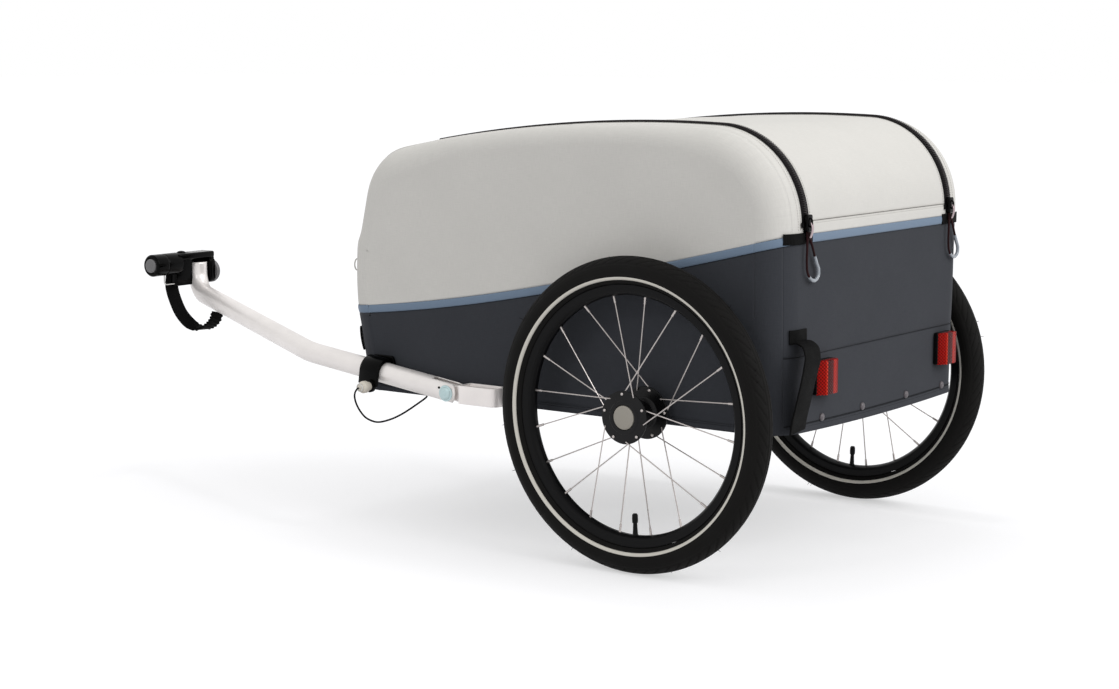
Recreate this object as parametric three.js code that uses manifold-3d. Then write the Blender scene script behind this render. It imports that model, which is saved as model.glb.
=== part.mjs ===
// Cargo bike trailer: a fabric box on an aluminium frame, two spoked wheels and one bent drawbar.
// Millimetres. +X is forward, +Y is the trailer's left, +Z is up. Pieces are worked out from the
// middle of the axle line on the ground, and the whole is then centred over its own footprint.

import * as THREE from 'three';
import { mergeVertices } from 'three/addons/utils/BufferGeometryUtils.js';
import Module from 'manifold-3d';

const wasm = await Module();
wasm.setup();

// Clearances and working values
const gap = 0.3;
const overrun = 4;
const weldDistance = 0.0005;
const holeSides = 24;

// Fabric box: its side outline and its width
const boxRear = -234;
const boxLength = 880;
const hemHeight = 230;
const rearWallHeight = 320;
const rearArcRadius = 150;
const boxHalfWidth = 300;
const roofFlare = 13;
const hemCornerRadius = 52;
const roofCornerRadius = 48;
const cornerTaperHeight = 390;
const clothThickness = 3;
const trimHeight = 12.5;
const zipOffset = 232;
const zipTapeWidth = 9.4;
const zipProud = 1;
const coverFrontReach = 714;

// Webbing, rivets and reflectors on the rear of the box
const webbingThickness = 2;
const cornerTabHeight = 16;
const cornerTabInner = 216;
const cornerTabTurn = 0.62;
const rightTabOuter = 262;
const reflectorWidth = 52;
const reflectorHeight = 54;
const reflectorDepth = 20;
const reflectorCrown = 5;
const leftReflectorOffset = 185;
const rightReflectorOffset = 225;
const reflectorMiddle = 312;
const rivetRise = 16.5;
const rivetRadius = 2.2;
const rivetHeadRadius = 5;
const rivetHeadHeight = 2;
const rivetPlaces = [180, 49, -101, -231];
const rivetRailFoot = 8;
const flagTabInner = 230;
const flagTabTurn = 0.45;
const flagTabFoot = 370;
const flagTabHeight = 22;
const flagStrapWidth = 55;
const flagStrapThickness = 3;

// Frame
const frameInset = 30;
const railSize = 20;
const railWall = 2;
const hoopRadius = 11;
const hoopWall = 1.8;
const hoopFoot = 16;
const floorThickness = 6;
const rearTubeHeight = 520;
const beamRadius = 12;
const socketRadius = 15;
const socketInner = 286;
const socketOuter = 314;

// Wheels
const wheelRadius = 250;
const wheelOffset = 361;
const tyreSectionRadius = 23.4;
const tyreWall = 3.5;
const wheelSegments = 40;
const hubSegments = 24;
const beadWidth = 10.7;
const rimInnerRadius = 189;
const rimSeatRadius = 200;
const rimEdgeRadius = 207;
const rimHalfWidth = 13;
const rimWall = 2;
const flangeRadius = 42;
const flangeThickness = 3;
const outerFlangeFace = 24;
const innerFlangeFace = 37.5;
const hubInnerEnd = 43;
const hubBarrelRadius = 19;
const hubBossRadius = 22;
const spokeCircleRadius = 37;
const spokeRadius = 1.1;
const nippleRadius = 2.2;
const nippleLength = 12;
const spokeCount = 20;
const firstSpokeAngle = 7;
const leadingSpokeTurn = 42;
const trailingSpokeTurn = -30;
const axleRadius = 6;
const axleInnerEnd = 270;
const bearingRadius = 12;
const buttonRadius = 19;
const buttonRecess = 9;
const buttonProud = 2.2;
const buttonTravel = 4;
const stemRadius = 3;
const stemBore = 24;

// Drawbar
const barRadius = 18;
const barWall = 2;
const barOffset = 321;
const hingeAhead = 392;
const hingeHeight = 246;
const barTail = 12;
const barRise = 0.13;
const barSlotLength = 38;
const barSlotWidth = 14.6;
const barFirstCorner = 714;
const barFirstBend = 118;
const barSecondBend = 45;
const couplingAhead = 1189;
const couplingOffset = 123;
const secondLegRise = 0.125;
const boltRadius = 4;
const boltHeadRadius = 7.5;
const boltHeadHeight = 5.5;
const tongueThickness = 14;
const tongueHeight = 24;
const bracketLength = 82;
const bracketWall = 5;
const bracketHeight = 31;
const bracketCorner = 10;
const bossRadius = 6;
const bossSpacing = 46;

// Saddle and lock pin
const saddleAhead = 558;
const saddleLength = 40;
const saddleWall = 6.4;
const saddlePlate = 6;
const saddleClearance = 2;
const flangeLength = 60;
const flangeHeight = 24;
const flangePlate = 5;
const pinAhead = 556;
const pinHeight = 244;
const pinRadius = 3;
const knobRadius = 10.5;
const knobLength = 25;
const lugRadius = 11;
const tetherRadius = 1.6;

// Coupling
const couplingRadius = 20;
const couplingEnd = 246;
const cheekInner = 148;
const cheekOuter = 165;
const cheekHalfLength = 16;
const cheekDrop = 24;
const pivotHeight = 385;
const drumRise = 20;
const barTopRise = 19;
const pivotRadius = 4;
const pivotBossRadius = 9;
const farCheekWidth = 26;
const farCheekDrop = 17;
const archThickness = 11;
const pinCapRadius = 9;
const pinCapHeight = 4;
const socketPocketRadius = 8;
const socketPocketDepth = 25;
const socketPocketOffset = 195;
const pressRadius = 14.5;
const pressDepth = 12;
const pressLength = 13;
const pressProud = 6;
const clipRadius = 1.5;
const clipOuter = 212;
const clipDrop = 19;
const clipBend = 5;
const safetyStrapWidth = 25;
const safetyStrapThickness = 3;
const safetyStrapTopRise = 0.2;

// Zip sliders and their pulls
const sliderHeight = 22;
const sliderWidth = 8;
const sliderDepth = 6;
const sliderFoot = 7;
const pullRadius = 1.8;

const boxHeight = rearWallHeight + rearArcRadius;
const couplingHeight = pivotHeight + drumRise;
const barTopHeight = pivotHeight + barTopRise;
const axleHeight = wheelRadius;
const vector = (x, y, z) => new THREE.Vector3(x, y, z);
const sides = { left: 1, right: -1 };

// Materials
const finish = (color, roughness, metalness = 0) =>
  new THREE.MeshStandardMaterial({ color, roughness, metalness, flatShading: true });
const finishes = {
  cover: finish('#dfddd8', 0.85),
  panel: finish('#b9b5b0', 0.85),
  trim: finish('#7484a0', 0.6),
  skirt: finish('#2f3237', 0.85),
  webbing: finish('#17181b', 0.8),
  zip: finish('#1b1a1d', 0.6),
  aluminium: finish('#d9d7d3', 0.3, 0.9),
  steel: finish('#c9c9c6', 0.3, 1),
  black: finish('#141416', 0.45),
  rubber: finish('#1c1b1b', 0.8),
  rim: finish('#121214', 0.35, 0.3),
  grey: finish('#97948e', 0.5),
  red: finish('#d6202c', 0.15),
  pull: finish('#4a1f24', 0.7),
  board: finish('#3a3b3d', 0.7),
};

// Geometry helpers

// Welds a geometry into one closed body whose faces all point out.
function tidy(geometry) {
  const bare = new THREE.BufferGeometry();
  bare.setAttribute('position', geometry.attributes.position.clone());
  if (geometry.index) bare.setIndex(geometry.index.clone());
  const welded = mergeVertices(bare, weldDistance);
  const corners = welded.index.array;
  const place = welded.attributes.position;
  const [a, b, c] = [vector(), vector(), vector()];
  let faces = [];
  let volume = 0;
  for (let i = 0; i < corners.length; i += 3) {
    const [p, q, r] = [corners[i], corners[i + 1], corners[i + 2]];
    if (p === q || q === r || r === p) continue;
    faces.push([p, q, r]);
    volume += a.fromBufferAttribute(place, p)
      .dot(b.fromBufferAttribute(place, q).cross(c.fromBufferAttribute(place, r)));
  }
  if (volume < 0) faces = faces.map(([p, q, r]) => [p, r, q]);
  welded.setIndex(faces.flat());
  return welded;
}

function solid(geometry) {
  const body = tidy(geometry);
  return new wasm.Manifold(new wasm.Mesh({
    numProp: 3,
    vertProperties: new Float32Array(body.attributes.position.array),
    triVerts: new Uint32Array(body.index.array),
  }));
}

function geometryOf(body) {
  const { numProp, vertProperties, triVerts } = body.getMesh();
  const geometry = new THREE.BufferGeometry();
  geometry.setAttribute('position', new THREE.BufferAttribute(vertProperties, numProp));
  geometry.setIndex(new THREE.BufferAttribute(triVerts, 1));
  return geometry;
}

const join = (...geometries) => geometryOf(geometries.map(solid).reduce((all, one) => all.add(one)));
const cut = (geometry, ...cutters) =>
  geometryOf(cutters.map(solid).reduce((all, one) => all.subtract(one), solid(geometry)));

const axes = {
  x: [vector(0, 1, 0), vector(0, 0, 1), vector(1, 0, 0)],
  y: [vector(1, 0, 0), vector(0, 0, 1), vector(0, 1, 0)],
  z: [vector(1, 0, 0), vector(0, 1, 0), vector(0, 0, 1)],
};

// A flat outline carried along one axis: (y, z) along x, (x, z) along y and (x, y) along z.
function prism(shape, axis, from, to, curveSegments = 6) {
  const settings = { depth: to - from, bevelEnabled: false, curveSegments };
  const geometry = new THREE.ExtrudeGeometry(shape, settings);
  geometry.translate(0, 0, from);
  return tidy(geometry.applyMatrix4(new THREE.Matrix4().makeBasis(...axes[axis])));
}

function block(low, high) {
  const size = high.clone().sub(low);
  const middle = low.clone().add(high).multiplyScalar(1 / 2);
  return tidy(new THREE.BoxGeometry(...size).translate(...middle));
}

function disc(a, b, radius) {
  return new THREE.Shape().absarc(a, b, radius, 0, 2 * Math.PI);
}

// A round hole whose flats, with 24 sides, still clear the radius by the gap
function roundHole(a, b, radius) {
  return new THREE.Path().absarc(a, b, (radius + gap) / Math.cos(Math.PI / holeSides), 0, 2 * Math.PI);
}

// A round bar along one axis through the point (a, b) of the plane across it.
const rod = (axis, a, b, radius, from, to, quarterSteps = 4) =>
  prism(disc(a, b, radius), axis, from, to, 2 * quarterSteps);

// A closed profile of [radius, height] pairs turned about the Y axis.
function turned(profile, segments) {
  const points = profile.map(([radius, height]) => new THREE.Vector2(radius, height));
  return tidy(new THREE.LatheGeometry(points, segments));
}

const closed = (profile) => [...profile, profile[0]];

// A path through given stations: a straight takes one step, and a bend takes several.
class StationPath extends THREE.Curve {
  constructor(stations) {
    super();
    this.stations = stations;
  }
  getPoint(share, target = vector()) {
    const place = share * (this.stations.length - 1);
    const first = Math.min(Math.floor(place + 1e-9), this.stations.length - 2);
    return target.lerpVectors(this.stations[first], this.stations[first + 1], place - first);
  }
  getTangent(share, target = vector()) {
    const last = this.stations.length - 1;
    const near = Math.round(share * last);
    const ahead = Math.min(near + 1, last);
    const back = Math.max(near - 1, 0);
    const after = this.stations[ahead].clone().sub(this.stations[near]).normalize();
    const before = this.stations[near].clone().sub(this.stations[back]).normalize();
    return target.addVectors(after, before).normalize();
  }
  getUtoTmapping(share) {
    return share;
  }
}

// The points of a line that turns each corner on an arc.
function bentLine(corners, radii, steps) {
  const points = [corners[0]];
  for (let i = 1; i < corners.length - 1; i += 1) {
    const back = corners[i - 1].clone().sub(corners[i]).normalize();
    const ahead = corners[i + 1].clone().sub(corners[i]).normalize();
    const half = back.angleTo(ahead) / 2;
    const radius = radii[i - 1];
    const middle = back.clone().add(ahead).normalize().multiplyScalar(radius / Math.sin(half));
    const centre = corners[i].clone().add(middle);
    const from = corners[i].clone().addScaledVector(back, radius / Math.tan(half)).sub(centre);
    const to = corners[i].clone().addScaledVector(ahead, radius / Math.tan(half)).sub(centre);
    const turn = Math.PI - 2 * half;
    for (let k = 0; k <= steps; k += 1) {
      const share = k / steps;
      points.push(centre.clone()
        .addScaledVector(from, Math.sin((1 - share) * turn) / Math.sin(turn))
        .addScaledVector(to, Math.sin(share * turn) / Math.sin(turn)));
    }
  }
  return [...points, corners[corners.length - 1]];
}

function tube(stations, radius, wall, quarterSteps) {
  const section = disc(0, 0, radius);
  if (wall > 0) section.holes.push(new THREE.Path().absarc(0, 0, radius - wall, 0, 2 * Math.PI));
  return tidy(new THREE.ExtrudeGeometry(section, {
    steps: stations.length - 1,
    curveSegments: 2 * quarterSteps,
    extrudePath: new StationPath(stations),
  }));
}

// Joins two equal grids of points, an outer one and an inner one, into a closed sheet.
function sheet(outer, inner) {
  const rows = outer.length;
  const columns = outer[0].length;
  const points = [...outer.flat(), ...inner.flat()];
  const at = (layer, row, column) => layer * rows * columns + row * columns + column;
  const faces = [];
  const quad = (a, b, c, d) => faces.push(a, b, c, a, c, d);
  for (let i = 0; i < rows - 1; i += 1) {
    for (let k = 0; k < columns - 1; k += 1) {
      quad(at(0, i, k), at(0, i + 1, k), at(0, i + 1, k + 1), at(0, i, k + 1));
      quad(at(1, i, k), at(1, i, k + 1), at(1, i + 1, k + 1), at(1, i + 1, k));
    }
    quad(at(0, i, 0), at(1, i, 0), at(1, i + 1, 0), at(0, i + 1, 0));
    quad(at(0, i + 1, columns - 1), at(1, i + 1, columns - 1), at(1, i, columns - 1), at(0, i, columns - 1));
  }
  for (let k = 0; k < columns - 1; k += 1) {
    quad(at(0, 0, k + 1), at(1, 0, k + 1), at(1, 0, k), at(0, 0, k));
    quad(at(0, rows - 1, k), at(1, rows - 1, k), at(1, rows - 1, k + 1), at(0, rows - 1, k + 1));
  }
  const geometry = new THREE.BufferGeometry().setFromPoints(points);
  geometry.setIndex(faces);
  return tidy(geometry);
}

// A flat strap along a smooth line, with its width across the trailer.
function strap(points, width, thickness, steps) {
  const line = new THREE.CatmullRomCurve3(points);
  const across = vector(0, width / 2, 0);
  const [outer, inner] = [[], []];
  for (let i = 0; i <= steps; i += 1) {
    const middle = line.getPointAt(i / steps);
    const out = line.getTangentAt(i / steps).cross(across).setLength(thickness / 2);
    outer.push([middle.clone().add(out).sub(across), middle.clone().add(out).add(across)]);
    inner.push([middle.clone().sub(out).sub(across), middle.clone().sub(out).add(across)]);
  }
  return sheet(outer, inner);
}

function cord(points, radius, steps) {
  const line = new THREE.CatmullRomCurve3(points);
  return tube(line.getSpacedPoints(steps), radius, 0, 2);
}

// The side outline of the box, from the rear hem up, over the roof and down to the front hem

const roofShares = [[0.402, 1.017], [0.641, 0.979], [0.868, 0.898]];
const noseShares = [[0.919, 0.88], [0.951, 0.813], [0.964, 0.723]];
const kneeShares = [[0.983, 0.583], [0.993, 0.545]];
const bellyShares = [[1.001, 0.415], [0.9966, 0.302]];
const footShares = [[0.99, 0.245], [0.969, 0]];
const trimShares = [[0.9989, 0.302], [0.743, 0.343], [0.493, 0.4255], [0, 0.651]];

const boxPlace = ([lengthShare, heightShare]) =>
  new THREE.Vector2(boxRear + lengthShare * boxLength, hemHeight + heightShare * boxHeight);

function sideOutline() {
  const path = new THREE.Path();
  const wallTop = hemHeight + rearWallHeight;
  path.moveTo(boxRear, hemHeight);
  path.lineTo(boxRear, wallTop);
  path.absarc(boxRear + rearArcRadius, wallTop, rearArcRadius, Math.PI, Math.PI / 2, true);
  for (const curve of [roofShares, noseShares]) {
    const [first, second, end] = curve.map(boxPlace);
    path.bezierCurveTo(first.x, first.y, second.x, second.y, end.x, end.y);
  }
  for (const corner of kneeShares.map(boxPlace)) path.lineTo(corner.x, corner.y);
  const [belly, chin] = bellyShares.map(boxPlace);
  path.quadraticCurveTo(belly.x, belly.y, chin.x, chin.y);
  for (const corner of footShares.map(boxPlace)) path.lineTo(corner.x, corner.y);
  const points = path.getPoints(4);
  return points.map((point, i) => {
    const before = points[Math.max(i - 1, 0)];
    const after = points[Math.min(i + 1, points.length - 1)];
    const along = i > 0 ? point.clone().sub(before).normalize() : after.clone().sub(point).normalize();
    if (i < points.length - 1) along.add(after.clone().sub(point).normalize()).normalize();
    return { x: point.x, z: point.y, inX: along.y, inZ: -along.x };
  });
}

const outline = sideOutline();
const outlineEnd = outline.length - 1;

// A station is a place on the outline: whole numbers are its corners.
function stationAt(station) {
  const first = Math.min(Math.floor(station), outlineEnd - 1);
  const mix = (key) => THREE.MathUtils.lerp(outline[first][key], outline[first + 1][key], station - first);
  const inward = new THREE.Vector2(mix('inX'), mix('inZ')).normalize();
  return { x: mix('x'), z: mix('z'), inX: inward.x, inZ: inward.y };
}

// The first station where x or z takes a value, looked for from the rear hem or the front one.
function crossing(key, value, fromFront = false) {
  for (let i = 0; i < outlineEnd; i += 1) {
    const k = fromFront ? outlineEnd - 1 - i : i;
    const [low, high] = [outline[k][key], outline[k + 1][key]];
    if (low !== high && (low - value) * (high - value) <= 0) return k + (value - low) / (high - low);
  }
  return fromFront ? outlineEnd : 0;
}

function stretch(from, to) {
  const between = outline.map((point, i) => i).filter((i) => i > from && i < to);
  return [from, ...between, to];
}

function cornerRadius(z) {
  const share = THREE.MathUtils.clamp((z - hemHeight) / cornerTaperHeight, 0, 1);
  return THREE.MathUtils.lerp(hemCornerRadius, roofCornerRadius, share);
}

// The box is a little wider at its roof than at its hem.
const flare = (y, z) => y * (1 + (roofFlare / boxHalfWidth) * ((z - hemHeight) / boxHeight));
const sideAt = (z) => flare(boxHalfWidth, z);

// A column is a place across the box: a distance y on its flat middle, or a turn round a corner.
function boxPoint(station, column, depth) {
  const { x, z, inX, inZ } = stationAt(THREE.MathUtils.clamp(station, 0, outlineEnd));
  const radius = cornerRadius(z);
  const turn = column.turn ?? 0;
  const drop = radius - (radius - depth) * Math.cos(turn);
  const cornerY = boxHalfWidth - radius + (radius - depth) * Math.sin(turn);
  const y = 'y' in column ? column.y : column.side * cornerY;
  const height = z + inZ * drop;
  return vector(x + inX * drop, flare(y, height), height);
}

// A patch of the box's skin between two seams. Each seam gives its station on a column, and the
// outline's own corners between the seams are kept on every column alike.
function patch(startSeam, endSeam, columns, outerDepth = 0, innerDepth = clothThickness) {
  const starts = columns.map(startSeam);
  const ends = columns.map(endSeam);
  const [first, last] = [Math.max(...starts), Math.min(...ends)];
  const corners = outline.map((point, i) => i).filter((i) => i > first && i < last);
  const grid = (depth) => ['start', ...corners, 'end'].map((row) => columns.map((column, k) => {
    const station = row === 'start' ? starts[k] : row === 'end' ? ends[k] : row;
    return boxPoint(station, column, depth);
  }));
  return sheet(grid(outerDepth), grid(innerDepth));
}

const flatColumns = (...places) => places.map((y) => ({ y }));
const quarterTurn = Math.PI / 2;
const cornerTurnShares = [0, 0.25, 0.5, 0.75, 1];
const corner = (side, from = 0, to = quarterTurn) =>
  cornerTurnShares.map((share) => ({ side, turn: from + share * (to - from) }));
const sideColumn = { side: 1, turn: quarterTurn };
const acrossBox = [...corner(-1).reverse(), ...corner(1)];

// The trim strip's top edge, as height over the distance along the box

const trimEdge = new THREE.CubicBezierCurve(...trimShares.map(boxPlace)).getPoints(16);

function trimTop(x) {
  const i = Math.max(1, trimEdge.findIndex((point) => point.x <= x));
  const [front, rear] = [trimEdge[i - 1], trimEdge[i]];
  const share = THREE.MathUtils.clamp((x - rear.x) / (front.x - rear.x), 0, 1);
  return THREE.MathUtils.lerp(rear.y, front.y, share);
}

const rearTrimTop = trimTop(boxRear);
const bisections = 30;

// The station on a column where the skin lies a drop below the trim's top edge
function trimStation(column, atFront, drop) {
  const above = (station) => {
    const { x, z } = boxPoint(station, column, 0);
    return z - trimTop(x) + drop;
  };
  let low = atFront ? outlineEnd : 0;
  const step = atFront ? -1 : 1;
  while (above(low) * above(low + step) > 0) low += step;
  let high = low + step;
  for (let i = 0; i < bisections; i += 1) {
    const middle = (low + high) / 2;
    if (above(low) * above(middle) <= 0) high = middle;
    else low = middle;
  }
  return low;
}

// Fabric pieces

const coverFrontStation = crossing('x', boxRear + coverFrontReach);
const panelRearStation = crossing('x', boxRear + coverFrontReach + gap);
const zipInner = zipOffset - zipTapeWidth / 2;
const zipOuter = zipOffset + zipTapeWidth / 2;
const coverRearSeam = () => crossing('z', rearTrimTop + gap);
const coverFrontSeam = () => coverFrontStation;
const heightSeam = (z) => () => crossing('z', z);
const trimSeam = (atFront, drop) => (column) => trimStation(column, atFront, drop);

// An upright plate in the side of the box, from its outline in (x, z), leaning with the flare.
function sidePlate(points, side, holes = []) {
  const shape = new THREE.Shape(points);
  shape.holes.push(...holes);
  const outer = side * boxHalfWidth;
  const inner = side * (boxHalfWidth - clothThickness);
  const geometry = prism(shape, 'y', Math.min(outer, inner), Math.max(outer, inner), holeSides / 2);
  const place = geometry.attributes.position;
  for (let i = 0; i < place.count; i += 1) place.setY(i, flare(place.getY(i), place.getZ(i)));
  return geometry;
}

// The edge where a side plate meets the rounded corners, from one station to another
function sideEdge(from, to) {
  return stretch(from, to).map((station) => {
    const { x, z, inX, inZ } = stationAt(station);
    const inset = cornerRadius(z) + gap;
    return new THREE.Vector2(x + inX * inset, z + inZ * inset);
  });
}

// Points along the trim's top edge between two places, a drop below it, from the front to the rear
function trimLine(front, rear, drop) {
  const between = trimEdge.filter((point) => point.x < front.x && point.x > rear.x);
  const lower = (x) => new THREE.Vector2(x, trimTop(x) - drop);
  return [lower(front.x), ...between.map((point) => lower(point.x)), lower(rear.x)];
}

const rearEdgeAt = (drop) => sideEdge(trimStation(sideColumn, false, drop), 1)[0];
const frontEdgeAt = (drop) => sideEdge(trimStation(sideColumn, true, drop), outlineEnd)[0];

function sidePanel(side) {
  const rear = trimStation(sideColumn, false, -gap);
  const front = trimStation(sideColumn, true, -gap);
  const top = sideEdge(rear, front);
  const foot = trimLine(top[top.length - 1], top[0], -gap);
  return sidePlate([...top, ...foot.slice(1, -1)], side);
}

function sideTrim(side) {
  const upper = trimLine(frontEdgeAt(0), rearEdgeAt(0), 0);
  const lower = trimLine(frontEdgeAt(trimHeight), rearEdgeAt(trimHeight), trimHeight);
  return sidePlate([...upper, ...lower.reverse()], side);
}

function sideSkirt(side, holes) {
  const drop = trimHeight + gap;
  const rear = sideEdge(0, trimStation(sideColumn, false, drop));
  const front = sideEdge(trimStation(sideColumn, true, drop), outlineEnd);
  const top = trimLine(front[0], rear[rear.length - 1], drop).reverse();
  return sidePlate([...rear, ...top.slice(1, -1), ...front], side, holes);
}

// The scene graph

const trailer = new THREE.Group();

function add(name, geometry, material, parent = trailer) {
  const mesh = new THREE.Mesh(geometry, material);
  mesh.name = name;
  parent.add(mesh);
  return mesh;
}

// Frame: rails on the axle beam, cross tubes, floor, hoops and the tubes between them

const hoopOffset = boxHalfWidth - frameInset;
const railFoot = axleHeight + beamRadius + gap;
const railTop = railFoot + railSize;
const railRear = boxRear + frameInset - railSize / 2;
const footInward = stationAt(crossing('z', railTop, true));
const railFront = footInward.x - frameInset + railSize / 2;
const crossHalfLength = hoopOffset - railSize / 2 - gap;

function squareTube(axis, a, b, from, to) {
  const half = railSize / 2;
  const square = (reach) => [[-reach, -reach], [reach, -reach], [reach, reach], [-reach, reach]]
    .map(([p, q]) => new THREE.Vector2(a + p, b + q));
  const section = new THREE.Shape(square(half));
  section.holes.push(new THREE.Path(square(half - railWall)));
  return prism(section, axis, from, to);
}

function addFrame() {
  const railMiddle = railFoot + railSize / 2;
  const rearCross = railRear + railSize / 2;
  const frontCross = railFront - railSize / 2;
  for (const [name, side] of Object.entries(sides)) {
    add(`side_rail_${name}`, squareTube('x', side * hoopOffset, railMiddle, railRear, railFront),
      finishes.aluminium);
    add(`hoop_${name}`, hoop(side * hoopOffset), finishes.aluminium);
  }
  for (const [end, x] of [['rear', rearCross], ['front', frontCross]]) {
    add(`cross_tube_${end}`, squareTube('y', x, railMiddle, -crossHalfLength, crossHalfLength),
      finishes.aluminium);
  }
  add('floor_panel', block(
    vector(rearCross + railSize / 2 + gap, -crossHalfLength, railFoot),
    vector(frontCross - railSize / 2 - gap, crossHalfLength, railFoot + floorThickness),
  ), finishes.board);
  add('axle_beam', axleBeam(), finishes.aluminium);

  const topHalfLength = hoopOffset - hoopRadius - gap;
  const front = hoopLine(0)[noseStationOfHoop()];
  const topPlaces = { rear: [boxRear + frameInset, rearTubeHeight], front: [front.x, front.z] };
  for (const [end, [x, z]] of Object.entries(topPlaces)) {
    add(`top_tube_${end}`, rod('y', x, z, hoopRadius, -topHalfLength, topHalfLength), finishes.aluminium);
  }
}

// A hoop follows the box's outline one inset further in, and stands upright on both rail ends.
function hoopLine(y) {
  const foot = railTop + gap;
  const rear = boxRear + frameInset;
  const front = footInward.x - frameInset;
  const bend = outline
    .map(({ x, z, inX, inZ }) => vector(x + inX * frameInset, y, z + inZ * frameInset))
    .filter((point, i) => i > 0 && i < outlineEnd && point.z > foot + 2 * hoopFoot);
  return [
    vector(rear, y, foot), ...bend, vector(front, y, foot + hoopFoot), vector(front, y, foot),
  ];
}

const hoop = (y) => tube(hoopLine(y), hoopRadius, hoopWall, 2);

// The hoop's point nearest to the middle of the nose curve
function noseStationOfHoop() {
  const middle = boxPlace(noseShares[1]);
  const line = hoopLine(0);
  const distances = line.map((point) => Math.hypot(point.x - middle.x, point.z - middle.y));
  return distances.indexOf(Math.min(...distances));
}

function axleBeam() {
  const bore = axleRadius + gap;
  const profile = [
    [bore, -socketOuter], [socketRadius, -socketOuter],
    [socketRadius, -socketInner], [beamRadius, -socketInner],
    [beamRadius, socketInner], [socketRadius, socketInner], [socketRadius, socketOuter], [bore, socketOuter],
  ];
  return turned(closed(profile), 24).translate(0, 0, axleHeight);
}

// Box skin

const socketHole = () => roundHole(0, axleHeight, socketRadius);
const bracketHoles = () => bossPlaces.map((x) => roundHole(x, bracketMiddle, bossRadius));

function rearSkirt() {
  const holes = rivetPlaces.map((y) => rod(
    'x', y, hemHeight + rivetRise, rivetRadius + gap,
    boxRear - overrun, boxRear + clothThickness + overrun, 2,
  ));
  return cut(patch(() => 0, trimSeam(false, trimHeight + gap), acrossBox), ...holes);
}

function addSkin() {
  const lid = flatColumns(gap - zipInner, zipInner - gap);
  add('roof_cover', patch(coverRearSeam, coverFrontSeam, lid), finishes.cover);
  add('front_panel', patch(() => panelRearStation, trimSeam(true, -gap), acrossBox), finishes.cover);
  add('front_skirt', patch(trimSeam(true, trimHeight + gap), () => outlineEnd, acrossBox), finishes.skirt);
  add('rear_skirt', rearSkirt(), finishes.skirt);
  add('trim_rear', patch(trimSeam(false, trimHeight), trimSeam(false, 0), acrossBox), finishes.trim);
  add('trim_front', patch(trimSeam(true, 0), trimSeam(true, trimHeight), acrossBox), finishes.trim);
  for (const [name, side] of Object.entries(sides)) {
    const edge = [...flatColumns(side * (zipOuter + gap)), ...corner(side)];
    const tape = flatColumns(side * zipInner, side * zipOuter);
    const holes = side > 0 ? [socketHole(), ...bracketHoles()] : [socketHole()];
    add(`edge_band_${name}`, patch(trimSeam(false, -gap), coverFrontSeam, edge), finishes.cover);
    add(`zip_${name}`, patch(coverRearSeam, coverFrontSeam, tape, -zipProud), finishes.zip);
    add(`side_panel_${name}`, sidePanel(side), finishes.panel);
    add(`trim_${name}`, sideTrim(side), finishes.trim);
    add(`side_skirt_${name}`, sideSkirt(side, holes), finishes.skirt);
  }
}

// Webbing, rivets and reflectors on the rear wall

function addRearTrim() {
  const onWall = (low, high, columns) =>
    patch(heightSeam(low), heightSeam(high), columns, -gap - webbingThickness, -gap);
  const tabFoot = rearTrimTop - cornerTabHeight;
  const leftTab = [...flatColumns(cornerTabInner), ...corner(1, 0, cornerTabTurn)];
  const flagTab = [...flatColumns(flagTabInner), ...corner(1, 0, flagTabTurn)];
  add('corner_tab_left', onWall(tabFoot, rearTrimTop, leftTab), finishes.webbing);
  add('corner_tab_right', onWall(tabFoot, rearTrimTop, flatColumns(-cornerTabInner, -rightTabOuter)),
    finishes.webbing);
  add('flag_strap_tab', onWall(flagTabFoot, flagTabFoot + flagTabHeight, flagTab), finishes.webbing);
  add('flag_strap', strap(flagStrapRoute, flagStrapWidth, flagStrapThickness, 14), finishes.webbing);
  add('rivet_rail', rivetRail(), finishes.steel);
  for (const [name, y] of Object.entries({ left: leftReflectorOffset, right: -rightReflectorOffset })) {
    const mesh = add(`reflector_${name}`, reflector(), finishes.red);
    mesh.position.set(boxRear - gap, y, reflectorMiddle);
  }
}

// The strap hangs from under its tab, stands off behind the reflector's edge and ends at the hem.
const flagStrapRoute = [
  vector(-236.6, 252, 372.5), vector(-242, 252, 372.4), vector(-254, 254, 366), vector(-261, 259, 351),
  vector(-262, 265, 335), vector(-259, 269, 312), vector(-252, 270, 280), vector(-245, 269, 254),
  vector(-241, 267, 236),
];

// A reflector with a bowed face, its back on x = 0
function reflector() {
  const half = reflectorWidth / 2;
  const edge = reflectorCrown - reflectorDepth;
  const plan = new THREE.Shape();
  plan.moveTo(0, -half);
  plan.lineTo(0, half);
  plan.lineTo(edge, half);
  plan.quadraticCurveTo(edge - 2 * reflectorCrown, 0, edge, -half);
  return prism(plan, 'z', -reflectorHeight / 2, reflectorHeight / 2);
}

// A batten inside the rear hem, with four rivets through the skirt into it
function rivetRail() {
  const front = railRear - gap;
  const back = boxRear + clothThickness + gap;
  const reach = boxHalfWidth - hemCornerRadius - rivetRailFoot;
  const batten = block(
    vector(back, -reach, hemHeight + rivetRailFoot),
    vector(front, reach, railFoot + railSize / 2),
  );
  const outer = boxRear - gap;
  const rivets = rivetPlaces.flatMap((y) => [
    rod('x', y, hemHeight + rivetRise, rivetRadius, outer - rivetHeadHeight / 2, back + overrun, 2),
    rod('x', y, hemHeight + rivetRise, rivetHeadRadius, outer - rivetHeadHeight, outer, 2),
  ]);
  return join(batten, ...rivets);
}

// Zip sliders, each with its corded pull

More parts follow.
